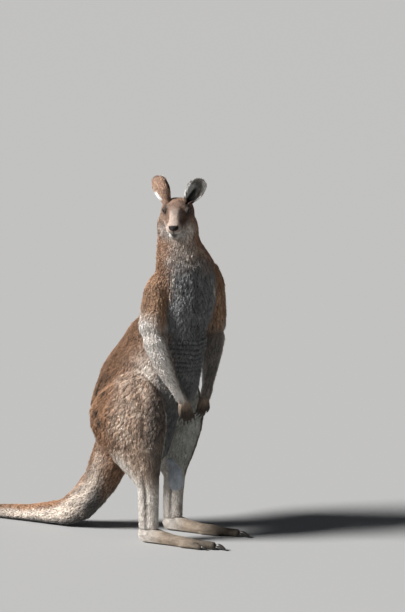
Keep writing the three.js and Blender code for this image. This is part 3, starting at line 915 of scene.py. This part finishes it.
# The bare nose pad: half its width, half its height and how far its middle lies below the nostrils.
PAD_HALF, PAD_HEIGHT, PAD_LOW = 21, 12, 1.5


def on_pad(out, up):
    """Nought at the middle of the nose pad, 1 at its edge."""
    return np.hypot(out / PAD_HALF, (up + PAD_LOW) / PAD_HEIGHT)


def trunk_colours(points):
    angle = np.cos(round_trunk(points))
    made = blend(FLANK, BACK, 0.9 * ramp(-angle, -0.1, 0.7))
    bare_flank = 1 - ramp(points[:, 2], 880, 1040)
    wavy = angle + 0.12 * noise(points, 34, 42)
    front = ramp(wavy, 0.22 + 0.36 * bare_flank, 0.72 + 0.22 * bare_flank)
    made = blend(made, BELLY_GREY, front)
    high = ramp(points[:, 2] + 34 * noise(points, 42, 37), 1190, 1320)
    places, ruff = head_places(points), head_places(JAW_RUFF)[0]
    aside = np.abs(places[:, 1]) - abs(ruff[1])
    away = np.sqrt((places[:, 0] - ruff[0]) ** 2 + aside**2 + (places[:, 2] - ruff[2]) ** 2)
    neck = blend(NECK, THROAT, ramp(angle + 0.1 * noise(points, 24, 44), 0.6, 1.0))
    made = blend(made, neck, high)
    made = blend(made, CHEEK * 1.2, 0.9 * bell(away, 38))
    for side in SIDES:
        corner = apart(points, on_head(side, JAW_CORNER))
        made = blend(made, EAR_WHITE, 0.85 * bell(corner, 21))
    low = 1 - ramp(points[:, 2], 560, 720)
    made = blend(made, RUMP_RED, low * ramp(-angle, 0, 0.6))
    for place in both_sides(LOW_FLANK):
        away = np.linalg.norm((points - place[0]) * (1, 1, 0.8), axis=1)
        made = blend(made, CREAM * 1.2, 0.8 * bell(away, 68) * (1 - 0.8 * front))
    tufts = ramp(noise(points * (1, 1, 0.55), 15, 31) + 0.5 * noise(points, 40, 32), 0.05, 0.7)
    edge = bell(angle - 0.62, 0.15) * ramp(points[:, 2], 1050, 1120) * (1 - ramp(points[:, 2], 1270, 1340))
    made = blend(made, CREAM * 1.1, 0.75 * edge * tufts)
    # Painted shade: a dark line along the chest's middle crease.
    middle = along_line(points, CHEST_CREASE)[0]
    return blend(made, BELLY_GREY * 0.35, 0.8 * bell(middle, 8))


def leg_colours(points, normals):
    side = np.sign(points[:, 0])
    rear = ramp(points[:, 1], 70, 170)
    front = 1 - ramp(points[:, 1], -62, -8)
    inner = ramp(-normals[:, 0] * side, 0.1, 0.6)
    thigh = blend(THIGH, RUMP_RED, rear)
    # Painted shade darkens the front of the thigh.
    thigh = blend(thigh, THIGH_FRONT_SHADE, front * 0.9)
    curls = ramp(noise(points, 26, 11) + noise(points, 11, 12), 0.1, 1.0)
    thigh = blend(thigh, THIGH_PALE, 0.75 * curls * (1 - front) * (1 - rear))
    thigh = blend(thigh, INNER_THIGH, inner)
    for line in both_sides(UNDER_EDGE):
        thigh = blend(thigh, CREAM * 1.3, 0.9 * bell(along_line(points, line)[0], 42))
    # The shank is cream, with painted shade darkening the groove down each side.
    shin = blend(CREAM * 1.2, CREAM * 0.4, bell(points[:, 1] + 4, 9) * ramp(np.abs(normals[:, 0]), 0.5, 0.9))
    return blend(shin, thigh, ramp(points[:, 2] - 0.5 * points[:, 1], 225, 345))


def foot_colours(points):
    toes = ramp(-points[:, 1], 130, 290)
    upper = blend(CREAM * 0.85, FOOT_BROWN, ramp(-points[:, 1] + 12 * noise(points, 20, 36), -10, 90))
    return blend(upper, FOOT_DARK, toes)


def arm_colours(points, normals):
    # Partly the arm's own two tones, partly painted light: the rear and outer side painted pale as if lit,
    # the front and inner side grey as painted shade.
    rearward = 0.75 * np.sign(points[:, 0]) * normals[:, 0] + 0.65 * normals[:, 1]
    fore = blend(ARM_GREY_AND_SHADE, ARM_PALE_AND_LIT * 1.1, ramp(rearward, -0.85, -0.15))
    wrist = points[:, 2] + 14 * noise(points, 22, 33)
    fore = blend(fore, HAND_BROWN, 1 - ramp(wrist, 605, 670))
    edge = points[:, 2] - 48 * rearward + 26 * noise(points, 40, 34) + 12 * noise(points, 14, 35)
    return blend(fore, UPPER_ARM, ramp(edge, 945, 1055))


def tail_colours(points, normals):
    steep = 1 - ramp(points[:, 1], 240, 420)
    rise = normals[:, 2] + 0.9 * steep * normals[:, 1] + 0.15 * noise(points, 30, 38)
    made = blend(TAIL_SIDE, TAIL_TOP, ramp(rise, 0.15, 0.75))
    # Painted shade darkens the tail where it faces down.
    made = blend(made, TAIL_UNDER_SHADE, ramp(-rise, 0.1, 0.7))
    made = blend(made, RUMP_RED, 0.8 * (1 - ramp(points[:, 1] + 30 * noise(points, 50, 39), 190, 300)))
    return blend(made, TAIL_TIP, ramp(points[:, 1], 620, 1000))


def head_colours(points):
    places = head_places(points)
    behind, out, up = places[:, 0], np.abs(places[:, 1]), places[:, 2]
    made = blend(CHEEK, FACE_BROWN, ramp(up, -36, -14))
    made = blend(made, CROWN, ramp(behind, 90, 135) * ramp(up, 10, 34))
    bridge = (1 - ramp(behind, 76, 112)) * (1 - ramp(out, 17, 27) * ramp(behind, 18, 44))
    made = blend(made, MUZZLE, bridge * ramp(up, -26, -10))
    made = blend(made, CHEEK * 1.12, (1 - ramp(up, -46, -26)) * ramp(behind, 40, 90))
    # Painted shade: the hollow beside the muzzle's bridge painted darker brown.
    hollow = bell(np.hypot((behind - 72) / 30, (up + 2) / 15), 1) * ramp(out, 22, 34)
    made = blend(made, FACE_BROWN * 0.7, 0.75 * hollow)
    made = blend(made, LIPS, (1 - ramp(behind, 34, 62)) * (1 - ramp(up, -26, -16)))
    made = blend(made, NECK, ramp(behind, 122, 190))
    front = 1 - ramp(behind, 20, 34)
    pad = ramp(1.12 - on_pad(out, up), 0, 0.16) * (1 - ramp(behind, 16, 24))
    # Painted shade: the chin under the mouth painted darker.
    chin_shade = bell(np.hypot(out / 17, (up + 58) / 15), 1) * (1 - ramp(behind, 34, 50))
    made = blend(made, CHEEK * 0.55, 0.85 * chin_shade)
    split = bell(out, 5) * ramp(-up, 8, 14) * (1 - ramp(-up, 38, 44))
    # Below the mouth's front: partly the lip's own dark skin, partly painted shade under the upper lip, both
    # painted near black.
    lip_dark_and_shade = 1 - ramp(np.hypot(out / 19, (up + 47) / 10), 0.45, 1.0)
    made = blend(made, BLACK_SKIN, np.maximum(0.96 * pad, front * np.maximum(0.8 * split, 0.84 * lip_dark_and_shade)))
    for side in SIDES:
        lip = along_line(points, on_head(side, *MOUTH))[0]
        made = blend(made, BLACK_SKIN * 2, 0.7 * bell(lip, 3.5) * (1 - ramp(behind, 14, 34)))
        middle, look, fore, rise = eye_frame(side)
        rel = points - middle
        away = np.linalg.norm(rel, axis=1)
        made = blend(made, FACE_BROWN * 0.6, 0.75 * bell(away - 16, 13) * ramp(rel @ look, -22, -4))
        made = blend(made, EYE_RING, 1 - ramp(away, 17, 23))
        patch = np.linalg.norm(rel - fore * 20 + rise * 2, axis=1)
        made = blend(made, EYE_RING * 1.3, 0.9 * bell(patch, 12))
        above = np.linalg.norm(rel - rise * 26 - fore * 6, axis=1)
        made = blend(made, MUZZLE, 0.35 * bell(above, 12))
    return made


def on_ear(side, points):
    """For each point: the way from the ear's root, the share along it, and how far it lies towards
    the inner edge, in millimetres and as a share of the half width there."""
    root, axis, _, across = ear_frame(side)
    rel = points - root
    along = rel @ axis / EAR_LENGTH
    inward = rel @ across * np.sign(-(across @ HEAD_LEFT) * SIDES[side])
    edge = inward / (EAR_WIDTH * np.interp(along, EAR_SECTIONS[:, 0], EAR_SECTIONS[:, 1]))
    return rel, along, inward, edge


def ear_colours(points, normals):
    """Brown behind with a dark rim; a grey cup with a white inner edge and a black hollow."""
    made = np.zeros_like(points)
    for side in SIDES:
        rel, along, inward, edge = on_ear(side, points)
        inside = ramp(normals @ ear_frame(side)[2], 0.0, 0.45)
        fleck = ramp(noise(points, 9, 41), -0.1, 0.6)
        cup = blend(EAR_INSIDE * 0.6, EAR_INSIDE * 1.25, fleck)
        black = bell(inward - 2, 15) * (1 - ramp(along, 0.5, 0.68))
        cup = blend(cup, BLACK_SKIN, np.maximum(black, 1 - ramp(along, 0.18, 0.3)))
        hairs = ramp(inward, 5, 12) * ramp(along, 0.14, 0.24) * (1 - ramp(along, 0.56, 0.7))
        cup = blend(cup, EAR_WHITE, hairs)
        cup = blend(cup, EAR_INSIDE * 0.35, 0.8 * ramp(-inward, 12, 24) * ramp(along, 0.4, 0.6))
        rim = ramp(-edge, 0.8, 0.92) * ramp(along, 0.14, 0.2) * (1 - ramp(along, 0.42, 0.52))
        back = blend(EAR_BACK, EAR_BACK * 0.25, ramp(along, 0.86, 0.97))
        back = blend(back, EAR_BACK * 0.3, ramp(inward, 19, 27) * ramp(along, 0.3, 0.5))
        back = blend(back, EAR_WHITE, rim)
        here = rel @ HEAD_LEFT * SIDES[side] > -45
        made[here] = blend(back, cup, inside)[here]
    return made


def ear_fringe(points, normals):
    """1 along the inner edge of each ear's cup, where long white hairs stand out."""
    made = np.zeros(len(points))
    for side in SIDES:
        rel, along, _, edge = on_ear(side, points)
        zone = ramp(edge, 0.55, 0.8) * ramp(along, 0.16, 0.26) * (1 - ramp(along, 0.5, 0.62))
        here = (np.linalg.norm(rel, axis=1) < EAR_LENGTH) & (normals @ ear_frame(side)[2] > 0.35)
        made = np.maximum(made, np.where(here, zone, 0))
    return made


def markings(points, normals, shares):
    """The coat's colour at each point. shares gives each kind's part there, which add up to 1."""
    groups = (
        (("neck", "chest", "belly", "rump"), trunk_colours(points)),
        (("thigh", "shank"), leg_colours(points, normals)),
        (("foot",), foot_colours(points)),
        (("hand",), blend(HAND_DARK, HAND_BROWN, ramp(points[:, 2], 575, 640))),
        (("upper_arm", "forearm"), arm_colours(points, normals)),
        (TAIL, tail_colours(points, normals)),
        (FACE, head_colours(points)),
        (("ear",), ear_colours(points, normals)),
        (("scrotum",), np.broadcast_to(BLUE_WHITE, points.shape)),
    )
    made = np.zeros_like(points)
    for kinds, colours in groups:
        share = sum(shares[:, list(KINDS).index(kind)] for kind in kinds)
        made += colours * share[:, None]
    for side in SIDES:
        away = apart(points, on_head(side, LIP_SIDE))
        made = blend(made, EAR_WHITE, 0.8 * bell(away, 21))
    for spot, size in zip([*SPOTS, FAR_SPOT], SPOT_SIZES):
        away = np.linalg.norm((points - spot) * (1, 1, 0.5), axis=1) / size + 3 * noise(points, 9, 43)
        made = blend(made, BLACK_SKIN, 0.95 * (1 - ramp(away, 11, 17)))
    return made


# Flecks and patches of the coat: strength, size and seed. Then the least and most light sent back.
FLECKS = [(0.2, 7, 1), (0.17, 17, 2), (0.14, 60, 3)]
LIGHT_RANGE = (0.002, 0.95)


def mottled(points, colours):
    """The same colours made lighter and darker in flecks and patches."""
    fleck = sum(strength * noise(points, size, seed) for strength, size, seed in FLECKS)
    return np.clip(colours * (1 + fleck)[:, None], *LIGHT_RANGE)


# ---- The lie of the coat ----
LIES = {
    "neck": (0, 0.1, -1), "chest": (0, 0.12, -1), "belly": (0, 0.34, -1), "rump": (0, 0.5, -1),
    "tail_root": (0, 0.6, -1), "tail_middle": (0, 1, -0.3), "tail_end": (0, 1, 0), "tail_tip": (0, 1, 0),
    "scrotum": (0, 0, -1), "thigh": (0, 0.35, -1), "shank": (0, 0.1, -1), "foot": (0, -1, -0.25),
}


def lie_of(node):
    """The way the hair points over one solid."""
    kind = kind_of(node)
    side = node.rsplit("_", 1)[-1]
    if kind in LIES:
        return unit(LIES[kind])
    if kind == "upper_arm":
        return unit(np.subtract(ELBOW[side], SHOULDER[side]))
    if kind == "forearm":
        return unit(np.subtract(WRIST[side], ELBOW[side]))
    if kind == "hand":
        return hand_frame(side)[0]
    if kind == "ear":
        return ear_frame(side)[1]
    return unit(-HEAD_FORWARD - UP * 0.25)


# ---- Tufts ----
# Each piece of the coat: its slot, and the kinds of solid that it covers.
COATS = {
    "coat_head": ("fur_back", FACE),
    "coat_ears": ("fur_dark", ("ear",)),
    "coat_neck": ("fur_back", ("neck",)),
    "coat_chest": ("fur_flank", ("chest",)),
    "coat_belly": ("fur_flank", ("belly",)),
    "coat_rump": ("fur_back", ("rump", "scrotum")),
    "coat_tail": ("fur_back", TAIL),
}
for limb, slot, kinds in (
    ("arm", "fur_pale", ARM),
    ("thigh", "fur_flank", ("thigh",)),
    ("leg", "fur_pale", ("shank", "foot")),
):
    for side in SIDES:
        COATS[f"coat_{limb}_{side}"] = (slot, kinds)
SPARSER = 1.0
STRAY_HAIRS = 0.03
rng = np.random.default_rng(7)


SOLE = 14
# The ear's opening, where no hair grows: its start and end along the ear, half its width, its depth.
EAR_HOLE, EAR_HOLE_HALF, EAR_HOLE_DEPTH = (8, 30), 15, 4


def bare(points, normals):
    """True where no hair grows: nose pad, eyes, the ears' openings and soles."""
    places = head_places(points)
    bald = (places[:, 0] < 20) & (on_pad(places[:, 1], places[:, 2]) < 1.1)
    bald |= (points[:, 2] < SOLE) & (normals[:, 2] < -0.55)
    for side in SIDES:
        _, away, facing, gap = on_eye(side, points)
        bald |= (away < EYE_RADIUS + 7) & (facing > 0) & (gap < 2.2)
        look = ear_frame(side)[2]
        rel, along, inward, _ = on_ear(side, points)
        up = along * EAR_LENGTH
        inside = (normals @ look > 0.1) & (up > EAR_HOLE[0]) & (up < EAR_HOLE[1])
        bald |= inside & (np.abs(inward) < EAR_HOLE_HALF) & (rel @ look < EAR_HOLE_DEPTH)
    return bald


CURLY = ("thigh", "rump")
CONTRAST = dict.fromkeys((*FACE, "forearm", "foot", "hand", "belly"), 0.6)
CONTRAST |= {"nose": 0.5, "ear": 0.8, "scrotum": 0.4, "upper_arm": 0.75, "shank": 0.55, "chest": 0.55}


class Field:
    """Everything the coat needs to know at the skin's own corners."""

    def __init__(self, piece):
        self.surface = Surface(piece.data)
        surface = self.surface
        self.nodes = nearest_nodes(surface.points, SOURCES)
        names = list(KINDS)
        kinds = np.array([names.index(kind_of(n)) for n in SOURCES])[self.nodes]
        shares = np.eye(len(names))[kinds]
        self.shares = surface.spread(shares, 12)
        self.normals = unit(surface.spread(surface.normals(), 1))
        lies = np.array([lie_of(n) for n in SOURCES])[self.nodes]
        self.lie = surface.spread(lies, 12)
        values = np.stack([region_values(self.nodes, c) for c in (2, 3, 4)], 1).astype(float)
        self.size = surface.spread(values, 20)
        self.curly = surface.spread(np.isin(kinds, [names.index(k) for k in CURLY]).astype(float), 12)
        self.colours = markings(surface.points, self.normals, self.shares)
        self.bald = bare(surface.points, self.normals)
        contrast = np.array([CONTRAST.get(k, 1.0) for k in names])[kinds]
        self.contrast = surface.spread(contrast, 8)
        places = head_places(surface.points)
        short = 0.4 + 0.6 * ramp(places[:, 0], 10, 70)
        face = self.shares[:, [names.index(k) for k in FACE]].sum(1)
        self.size[:, 0] *= mix(1, short, face)
        fringe = ear_fringe(surface.points, self.normals)
        self.size[:, 0] *= 1 + 0.6 * fringe
        self.size[:, 2] += 0.4 * fringe


def roots(field):
    """Places for the tufts, spread evenly by area and each region's room between tufts."""
    surface = field.surface
    a, b, c = (surface.points[surface.tris[:, i]] for i in range(3))
    area = np.linalg.norm(np.cross(b - a, c - a), axis=1) / 2
    room = field.size[surface.tris, 1].mean(1) * SPARSER
    bald = field.bald[surface.tris].any(1)
    wanted = np.where(bald, 0, area / room**2)
    ends = np.cumsum(wanted)
    count = int(ends[-1])
    picks = (np.arange(count) + rng.random(count)) * ends[-1] / count
    tri = np.minimum(np.searchsorted(ends, picks), len(ends) - 1)
    u, v = rng.random(count), rng.random(count)
    flip = u + v > 1
    u[flip], v[flip] = 1 - u[flip], 1 - v[flip]
    return tri, np.stack([1 - u - v, u, v], 1)


def blend_corners(values, tris, weights):
    """Values at places on the triangles, from those at their corners."""
    return (values[tris] * weights[..., None]).sum(1)


def clumps(points, size, seed):
    """The way from each point to its clump's middle, the nearness of the clump's edge, and its tag."""
    q = points / size
    cell = np.floor(q).astype(np.int64)
    first = np.full(len(points), np.inf)
    second = first.copy()
    way = np.zeros_like(points)
    tag = np.zeros(len(points))
    for corner in range(27):
        home = cell + (corner % 3 - 1, corner // 3 % 3 - 1, corner // 9 - 1)
        middle = home + np.stack([scatter(home, seed + i) for i in range(3)], 1)
        rel = middle - q
        away = np.linalg.norm(rel, axis=1)
        nearer = away < first
        second = np.where(nearer, first, np.minimum(second, away))
        first = np.where(nearer, away, first)
        way[nearer] = rel[nearer]
        tag[nearer] = scatter(home[nearer], seed + 3)
    return way * size, 1 - ramp(second - first, 0.0, 0.34), tag


def streaks(points, along, size, seed):
    """Noise drawn out along the hair, from -1 to 1."""
    steps = (-2, -1, 0, 1, 2)
    return sum(noise(points + along * (size * step), size, seed) for step in steps) * 0.42


def tuft_shapes(field, tri, weights):
    """Five corners for each tuft: its root, three round its middle and its tip, and its own shade."""
    tris = field.surface.tris[tri]
    base = blend_corners(field.surface.points, tris, weights)
    normal = unit(blend_corners(field.normals, tris, weights))
    lie = blend_corners(field.lie, tris, weights)
    size = blend_corners(field.size, tris, weights)
    curly, contrast = blend_corners(np.stack([field.curly, field.contrast], 1), tris, weights).T
    count = len(base)
    along = unit(lie - normal * dot(lie, normal)[:, None])
    across = np.cross(normal, along)
    reach = 15 + 5 * curly
    small = np.clip(size[:, 0] / 18, 0.3, 1)
    way, edge, tag = clumps(base / (reach * small)[:, None], 1.0, 50)
    pull = dot(way, across)
    swirl = 0.3 * noise(base, 30, 21) + (0.1 + 0.35 * curly) * noise(base, 15, 22)
    swirl = swirl + 0.45 * pull + (tag - 0.5) * (0.2 + 0.4 * curly) + rng.normal(0, 0.1, count)
    turned = along * np.cos(swirl)[:, None] + across * np.sin(swirl)[:, None]
    across = np.cross(normal, turned)
    stray = rng.random(count) < STRAY_HAIRS
    length = size[:, 0] * (1 + 0.2 * noise(base, 22, 23) + rng.normal(0, 0.12, count) + 0.35 * stray)
    length = np.maximum(length, 1.2)
    stand = size[:, 2] * (1 + 0.5 * noise(base, 18, 24) + rng.normal(0, 0.2, count) + 0.4 * stray)
    stand = stand * (1 + 0.5 * (1 - edge) * small)
    width = 0.75 + 0.1 * length
    thick = 0.35 + 0.025 * length
    curl = (0.15 * noise(base, 14, 25) + rng.normal(0, 0.06, count)) * length
    middle = base + turned * (length * 0.42)[:, None] + normal * (length * stand * 0.5)[:, None]
    middle = middle + across * (curl * 0.2)[:, None]
    half = across * (width / 2)[:, None]
    top = middle + normal * thick[:, None]
    tip = base + turned * length[:, None] + normal * (length * stand)[:, None] + across * curl[:, None]
    corners = np.stack([base - normal * 0.6, middle - half, middle + half, top, tip], 1)
    drawn = streaks(base, turned, 7.5, 60) * (1 - 0.2 * curly)
    own = 0.3 * drawn + 0.3 * (tag - 0.5) - (0.16 + 0.1 * curly) * edge + rng.normal(0, 0.1, count)
    own = 1 + contrast * own
    return base, corners, np.clip(own, 0.25, 1.7)


# Corner 0 is the root, 1 to 3 go round the middle, 4 is the tip.
TUFT_FACES = [(0, 3, 2), (0, 1, 3), (0, 2, 1), (4, 2, 3), (4, 3, 1), (4, 1, 2)]
TUFT_SHADES = np.array([0.45, 0.9, 0.9, 1.0, 1.4])
PATCH = 0.003
PATCH_PLACES = np.array([(0, -0.5), (-0.5, 0), (0.5, 0), (0, 0.1), (0, 0.5)])


def tuft_mesh(name, corners, tints, spots):
    """One mesh of many tufts, with their colours and their places on the skin's unwrap."""
    count, size = len(corners), corners.shape[1]
    flat = np.array(TUFT_FACES).ravel()
    loops = (np.arange(count)[:, None] * size + flat).ravel()
    mesh = bpy.data.meshes.new(name)
    mesh.vertices.add(count * size)
    mesh.vertices.foreach_set("co", in_row(corners).astype(np.float32).ravel())
    mesh.loops.add(len(loops))
    mesh.loops.foreach_set("vertex_index", loops.astype(np.int32))
    mesh.polygons.add(len(loops) // 3)
    mesh.polygons.foreach_set("loop_start", np.arange(0, len(loops), 3).astype(np.int32))
    mesh.update(calc_edges=True)
    paint(mesh, tints.reshape(-1, 3))
    places = (spots[:, None] + PATCH_PLACES * PATCH)[:, flat].reshape(-1, 2)
    layer = mesh.uv_layers.new(name="OFBake")
    layer.data.foreach_set("uv", np.clip(places, 0, 1).astype(np.float32).ravel())
    mesh.validate()
    return mesh


def paint(mesh, colours):
    tint = mesh.color_attributes.new("tint", "FLOAT_COLOR", "POINT")
    full = np.concatenate([colours, np.ones((len(colours), 1))], 1)
    tint.data.foreach_set("color", full.astype(np.float32).ravel())


def dress(piece, field):
    """The coat, one piece for each group of regions."""
    tri, weights = roots(field)
    base, corners, own = tuft_shapes(field, tri, weights)
    tris = field.surface.tris[tri]
    colours = mottled(base, blend_corners(field.colours, tris, weights)) * own[:, None]
    tints = np.clip(colours[:, None] * TUFT_SHADES[:, None], *LIGHT_RANGE)
    spots = (corner_places(piece)[tri] * weights[..., None]).sum(1)
    owner = field.nodes[tris[:, 0]]
    made = []
    for name, (_, kinds) in COATS.items():
        side = name.rsplit("_", 1)[-1]
        wanted = [kind_of(n) in kinds and (side not in SIDES or n.endswith(side)) for n in SOURCES]
        here = np.array(wanted)[owner]
        mesh = tuft_mesh(name, corners[here], tints[here], spots[here])
        made.append(placed(name, mesh))
    return made


def corner_places(piece):
    """The skin's unwrap at the three corners of each triangle."""
    mesh = piece.data
    uv = rows_of(mesh.uv_layers["OFBake"].data, "uv", 2)
    return uv[rows_of(mesh.loop_triangles, "loops", 3, np.int32)].astype(float)


# ---- Materials ----
class Graph:
    """A material's nodes, made and linked by short calls."""

    def __init__(self, name):
        self.material = bpy.data.materials.new(name)
        self.material.use_nodes = True
        self.tree = self.material.node_tree
        self.shader = self.tree.nodes["Principled BSDF"]

    def node(self, kind, **inputs):
        made = self.tree.nodes.new(kind)
        for key, value in inputs.items():
            made.inputs[key.replace("_", " ")].default_value = value
        return made

    def link(self, source, output, target, socket):
        self.tree.links.new(source.outputs[output], target.inputs[socket])

    def fixed(self, **values):
        for key, value in values.items():
            self.shader.inputs[key.replace("_", " ")].default_value = value


    def grain(self, **settings):
        """Noise laid out by the piece's own places."""
        made = self.node("ShaderNodeTexNoise", **settings)
        self.link(self.node("ShaderNodeTexCoord"), "Object", made, "Vector")
        return made

    def tinted(self, grain, **levels):
        """The painted tint, made lighter and darker by the grain."""
        tint = self.node("ShaderNodeAttribute")
        tint.attribute_name = "tint"
        level = self.node("ShaderNodeMapRange", **levels)
        self.link(grain, "Fac", level, "Value")
        scaled = self.node("ShaderNodeVectorMath")
        scaled.operation = "SCALE"
        self.link(tint, "Color", scaled, 0)
        self.link(level, "Result", scaled, "Scale")
        self.link(scaled, "Vector", self.shader, "Base Color")

    def raised(self, grain, strength, distance):
        """A bump that follows the grain."""
        bump = self.node("ShaderNodeBump", Strength=strength, Distance=distance)
        self.link(grain, "Fac", bump, "Height")
        self.link(bump, "Normal", self.shader, "Normal")


def hair_material(name, flecks, bump):
    """Hair: the painted tint broken up by fine flecks, over a fine grain."""
    g = Graph(name)
    g.fixed(Roughness=0.82, Specular_IOR_Level=0.25, Sheen_Weight=0.04, Sheen_Roughness=0.5)
    grain = g.grain(Scale=flecks, Detail=3.0, Roughness=0.6)
    g.tinted(grain, From_Min=0.3, From_Max=0.7, To_Min=0.72, To_Max=1.25)
    g.raised(grain, bump, 0.002)
    return g.material


def finish_piece(piece, material, slot, *nodes):
    piece.data.materials.clear()
    piece.data.materials.append(material)
    piece.data.polygons.foreach_set("use_smooth", np.ones(len(piece.data.polygons), bool))
    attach(piece, "root")
    if nodes:
        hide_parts(*nodes)


# ---- Eyes and claws ----
IRIS = colour(0.016, 0.008, 0.005)
PUPIL = colour(0.003, 0.003, 0.004)
WHITE_OF_EYE = colour(0.02, 0.014, 0.012)


def eyeball(side):
    """A ball with a raised cornea, painted with a wide pupil in a dark brown iris."""
    middle, look, fore, _ = eye_frame(side)
    made = bmesh.new()
    bmesh.ops.create_uvsphere(made, u_segments=64, v_segments=40, radius=1.0)
    mesh = bpy.data.meshes.new(f"eye_{side}")
    made.to_mesh(mesh)
    made.free()
    local = np.array([v.co for v in mesh.vertices])
    angle = np.degrees(np.arccos(np.clip(local[:, 2], -1, 1)))
    size = EYE_RADIUS * (1 + 0.035 * (1 - ramp(angle, 18, 44)))
    world = look * local[:, 2:3] + fore * local[:, 0:1] + np.cross(look, fore) * local[:, 1:2]
    flat = in_row(middle + world * size[:, None]).astype(np.float32).ravel()
    mesh.vertices.foreach_set("co", flat)
    wide = np.hypot(local[:, 0] / 0.42, local[:, 1] / 0.28)
    tint = blend(WHITE_OF_EYE, IRIS, 1 - ramp(angle, 44, 50))
    tint = blend(tint, PUPIL, 1 - ramp(wide, 0.9, 1.1))
    paint(mesh, tint)
    return placed(f"eye_ball_{side}", mesh)


def eye_material():
    g = Graph("wet_eye")
    g.fixed(Roughness=0.25, Specular_IOR_Level=0.15, Coat_Weight=0.35, Coat_Roughness=0.08, Coat_IOR=1.25)
    g.tinted(g.grain(Scale=700.0, Detail=2.0), To_Min=0.6, To_Max=1.4)
    return g.material


def claw_material():
    g = Graph("dark_horn")
    g.fixed(Roughness=0.38, Specular_IOR_Level=0.5)
    grain = g.grain(Scale=160.0, Detail=4.0, Distortion=0.6)
    shades = g.node("ShaderNodeValToRGB")
    shades.color_ramp.elements[0].color = (0.008, 0.007, 0.006, 1)
    shades.color_ramp.elements[1].color = (0.055, 0.045, 0.038, 1)
    g.link(grain, "Fac", shades, "Fac")
    g.link(shades, "Color", g.shader, "Base Color")
    g.raised(grain, 0.25, 0.001)
    return g.material


def claws(side, where):
    """Smooth claws of one hand or foot."""
    nodes = [n for n in sorted(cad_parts) if n.startswith("claw_") and n.endswith(side)]
    nodes = [n for n in nodes if ("toe" in n) == (where == "foot")]
    piece = joined([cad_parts[n] for n in nodes], f"claws_{where}_{side}")
    with_modifier(piece, "SUBSURF", levels=3, render_levels=3)
    return piece, nodes


# ---- Camera, light and floor ----
SUN_ENERGY, SUN_ANGLE = 8.8, 16
TO_SUN = unit(-IMAGE_RIGHT * 0.88 + TO_CAMERA * 0.25 + UP * 0.58)
SKY, SKY_STRENGTH = (0.82, 0.88, 1.0, 1), 0.085
FLOOR, FLOOR_SIZE = (0.33, 0.327, 0.32, 1), 400


def aimed(thing, direction):
    """The thing turned so that it looks along the direction."""
    thing.rotation_euler = Vector(direction).to_track_quat("-Z", "Y").to_euler()
    bpy.context.scene.collection.objects.link(thing)
    return thing


def photographed():
    """The photograph's camera: where it stood, and its narrow angle."""
    lens = bpy.data.cameras.new("camera")
    lens.sensor_fit, lens.sensor_height, lens.lens = "VERTICAL", SENSOR, LENS
    camera = aimed(bpy.data.objects.new("camera", lens), -TO_CAMERA)
    camera.location = Vector(CAMERA_PLACE)
    bpy.context.scene.camera = camera


def lit():
    """A broad sun from the photograph's left, a pale sky and the plain floor."""
    sun = bpy.data.lights.new("key", "SUN")
    sun.energy, sun.angle = SUN_ENERGY, math.radians(SUN_ANGLE)
    aimed(bpy.data.objects.new("key", sun), -TO_SUN)
    world = bpy.data.worlds.new("sky")
    world.use_nodes = True
    sky = world.node_tree.nodes["Background"]
    sky.inputs["Color"].default_value = SKY
    sky.inputs["Strength"].default_value = SKY_STRENGTH
    bpy.context.scene.world = world
    bpy.context.scene.view_settings.view_transform = "Standard"
    bpy.ops.mesh.primitive_plane_add(size=FLOOR_SIZE)
    floor = bpy.context.object
    floor.name = "floor"
    ground = Graph("pale_floor")
    ground.fixed(Base_Color=FLOOR, Roughness=0.9, Specular_IOR_Level=0.1)
    floor.data.materials.append(ground.material)


# ---- The build ----
SKIN_SHADE = 0.8
field = Field(skin)
paint(skin.data, mottled(field.surface.points, field.colours) * SKIN_SHADE)
finish_piece(skin, hair_material("short_hair", 900.0, 0.5), "fur_flank", *FLESH)
coat_hair = hair_material("coat_hair", 500.0, 0.2)
for part in dress(skin, field):
    finish_piece(part, coat_hair, COATS[part.name][0])
wet = eye_material()
horn = claw_material()
for side in SIDES:
    finish_piece(eyeball(side), wet, "eye", f"eye_{side}")
    for where in ("hand", "foot"):
        piece, nodes = claws(side, where)
        finish_piece(piece, horn, "claw", *nodes)
photographed()
lit()
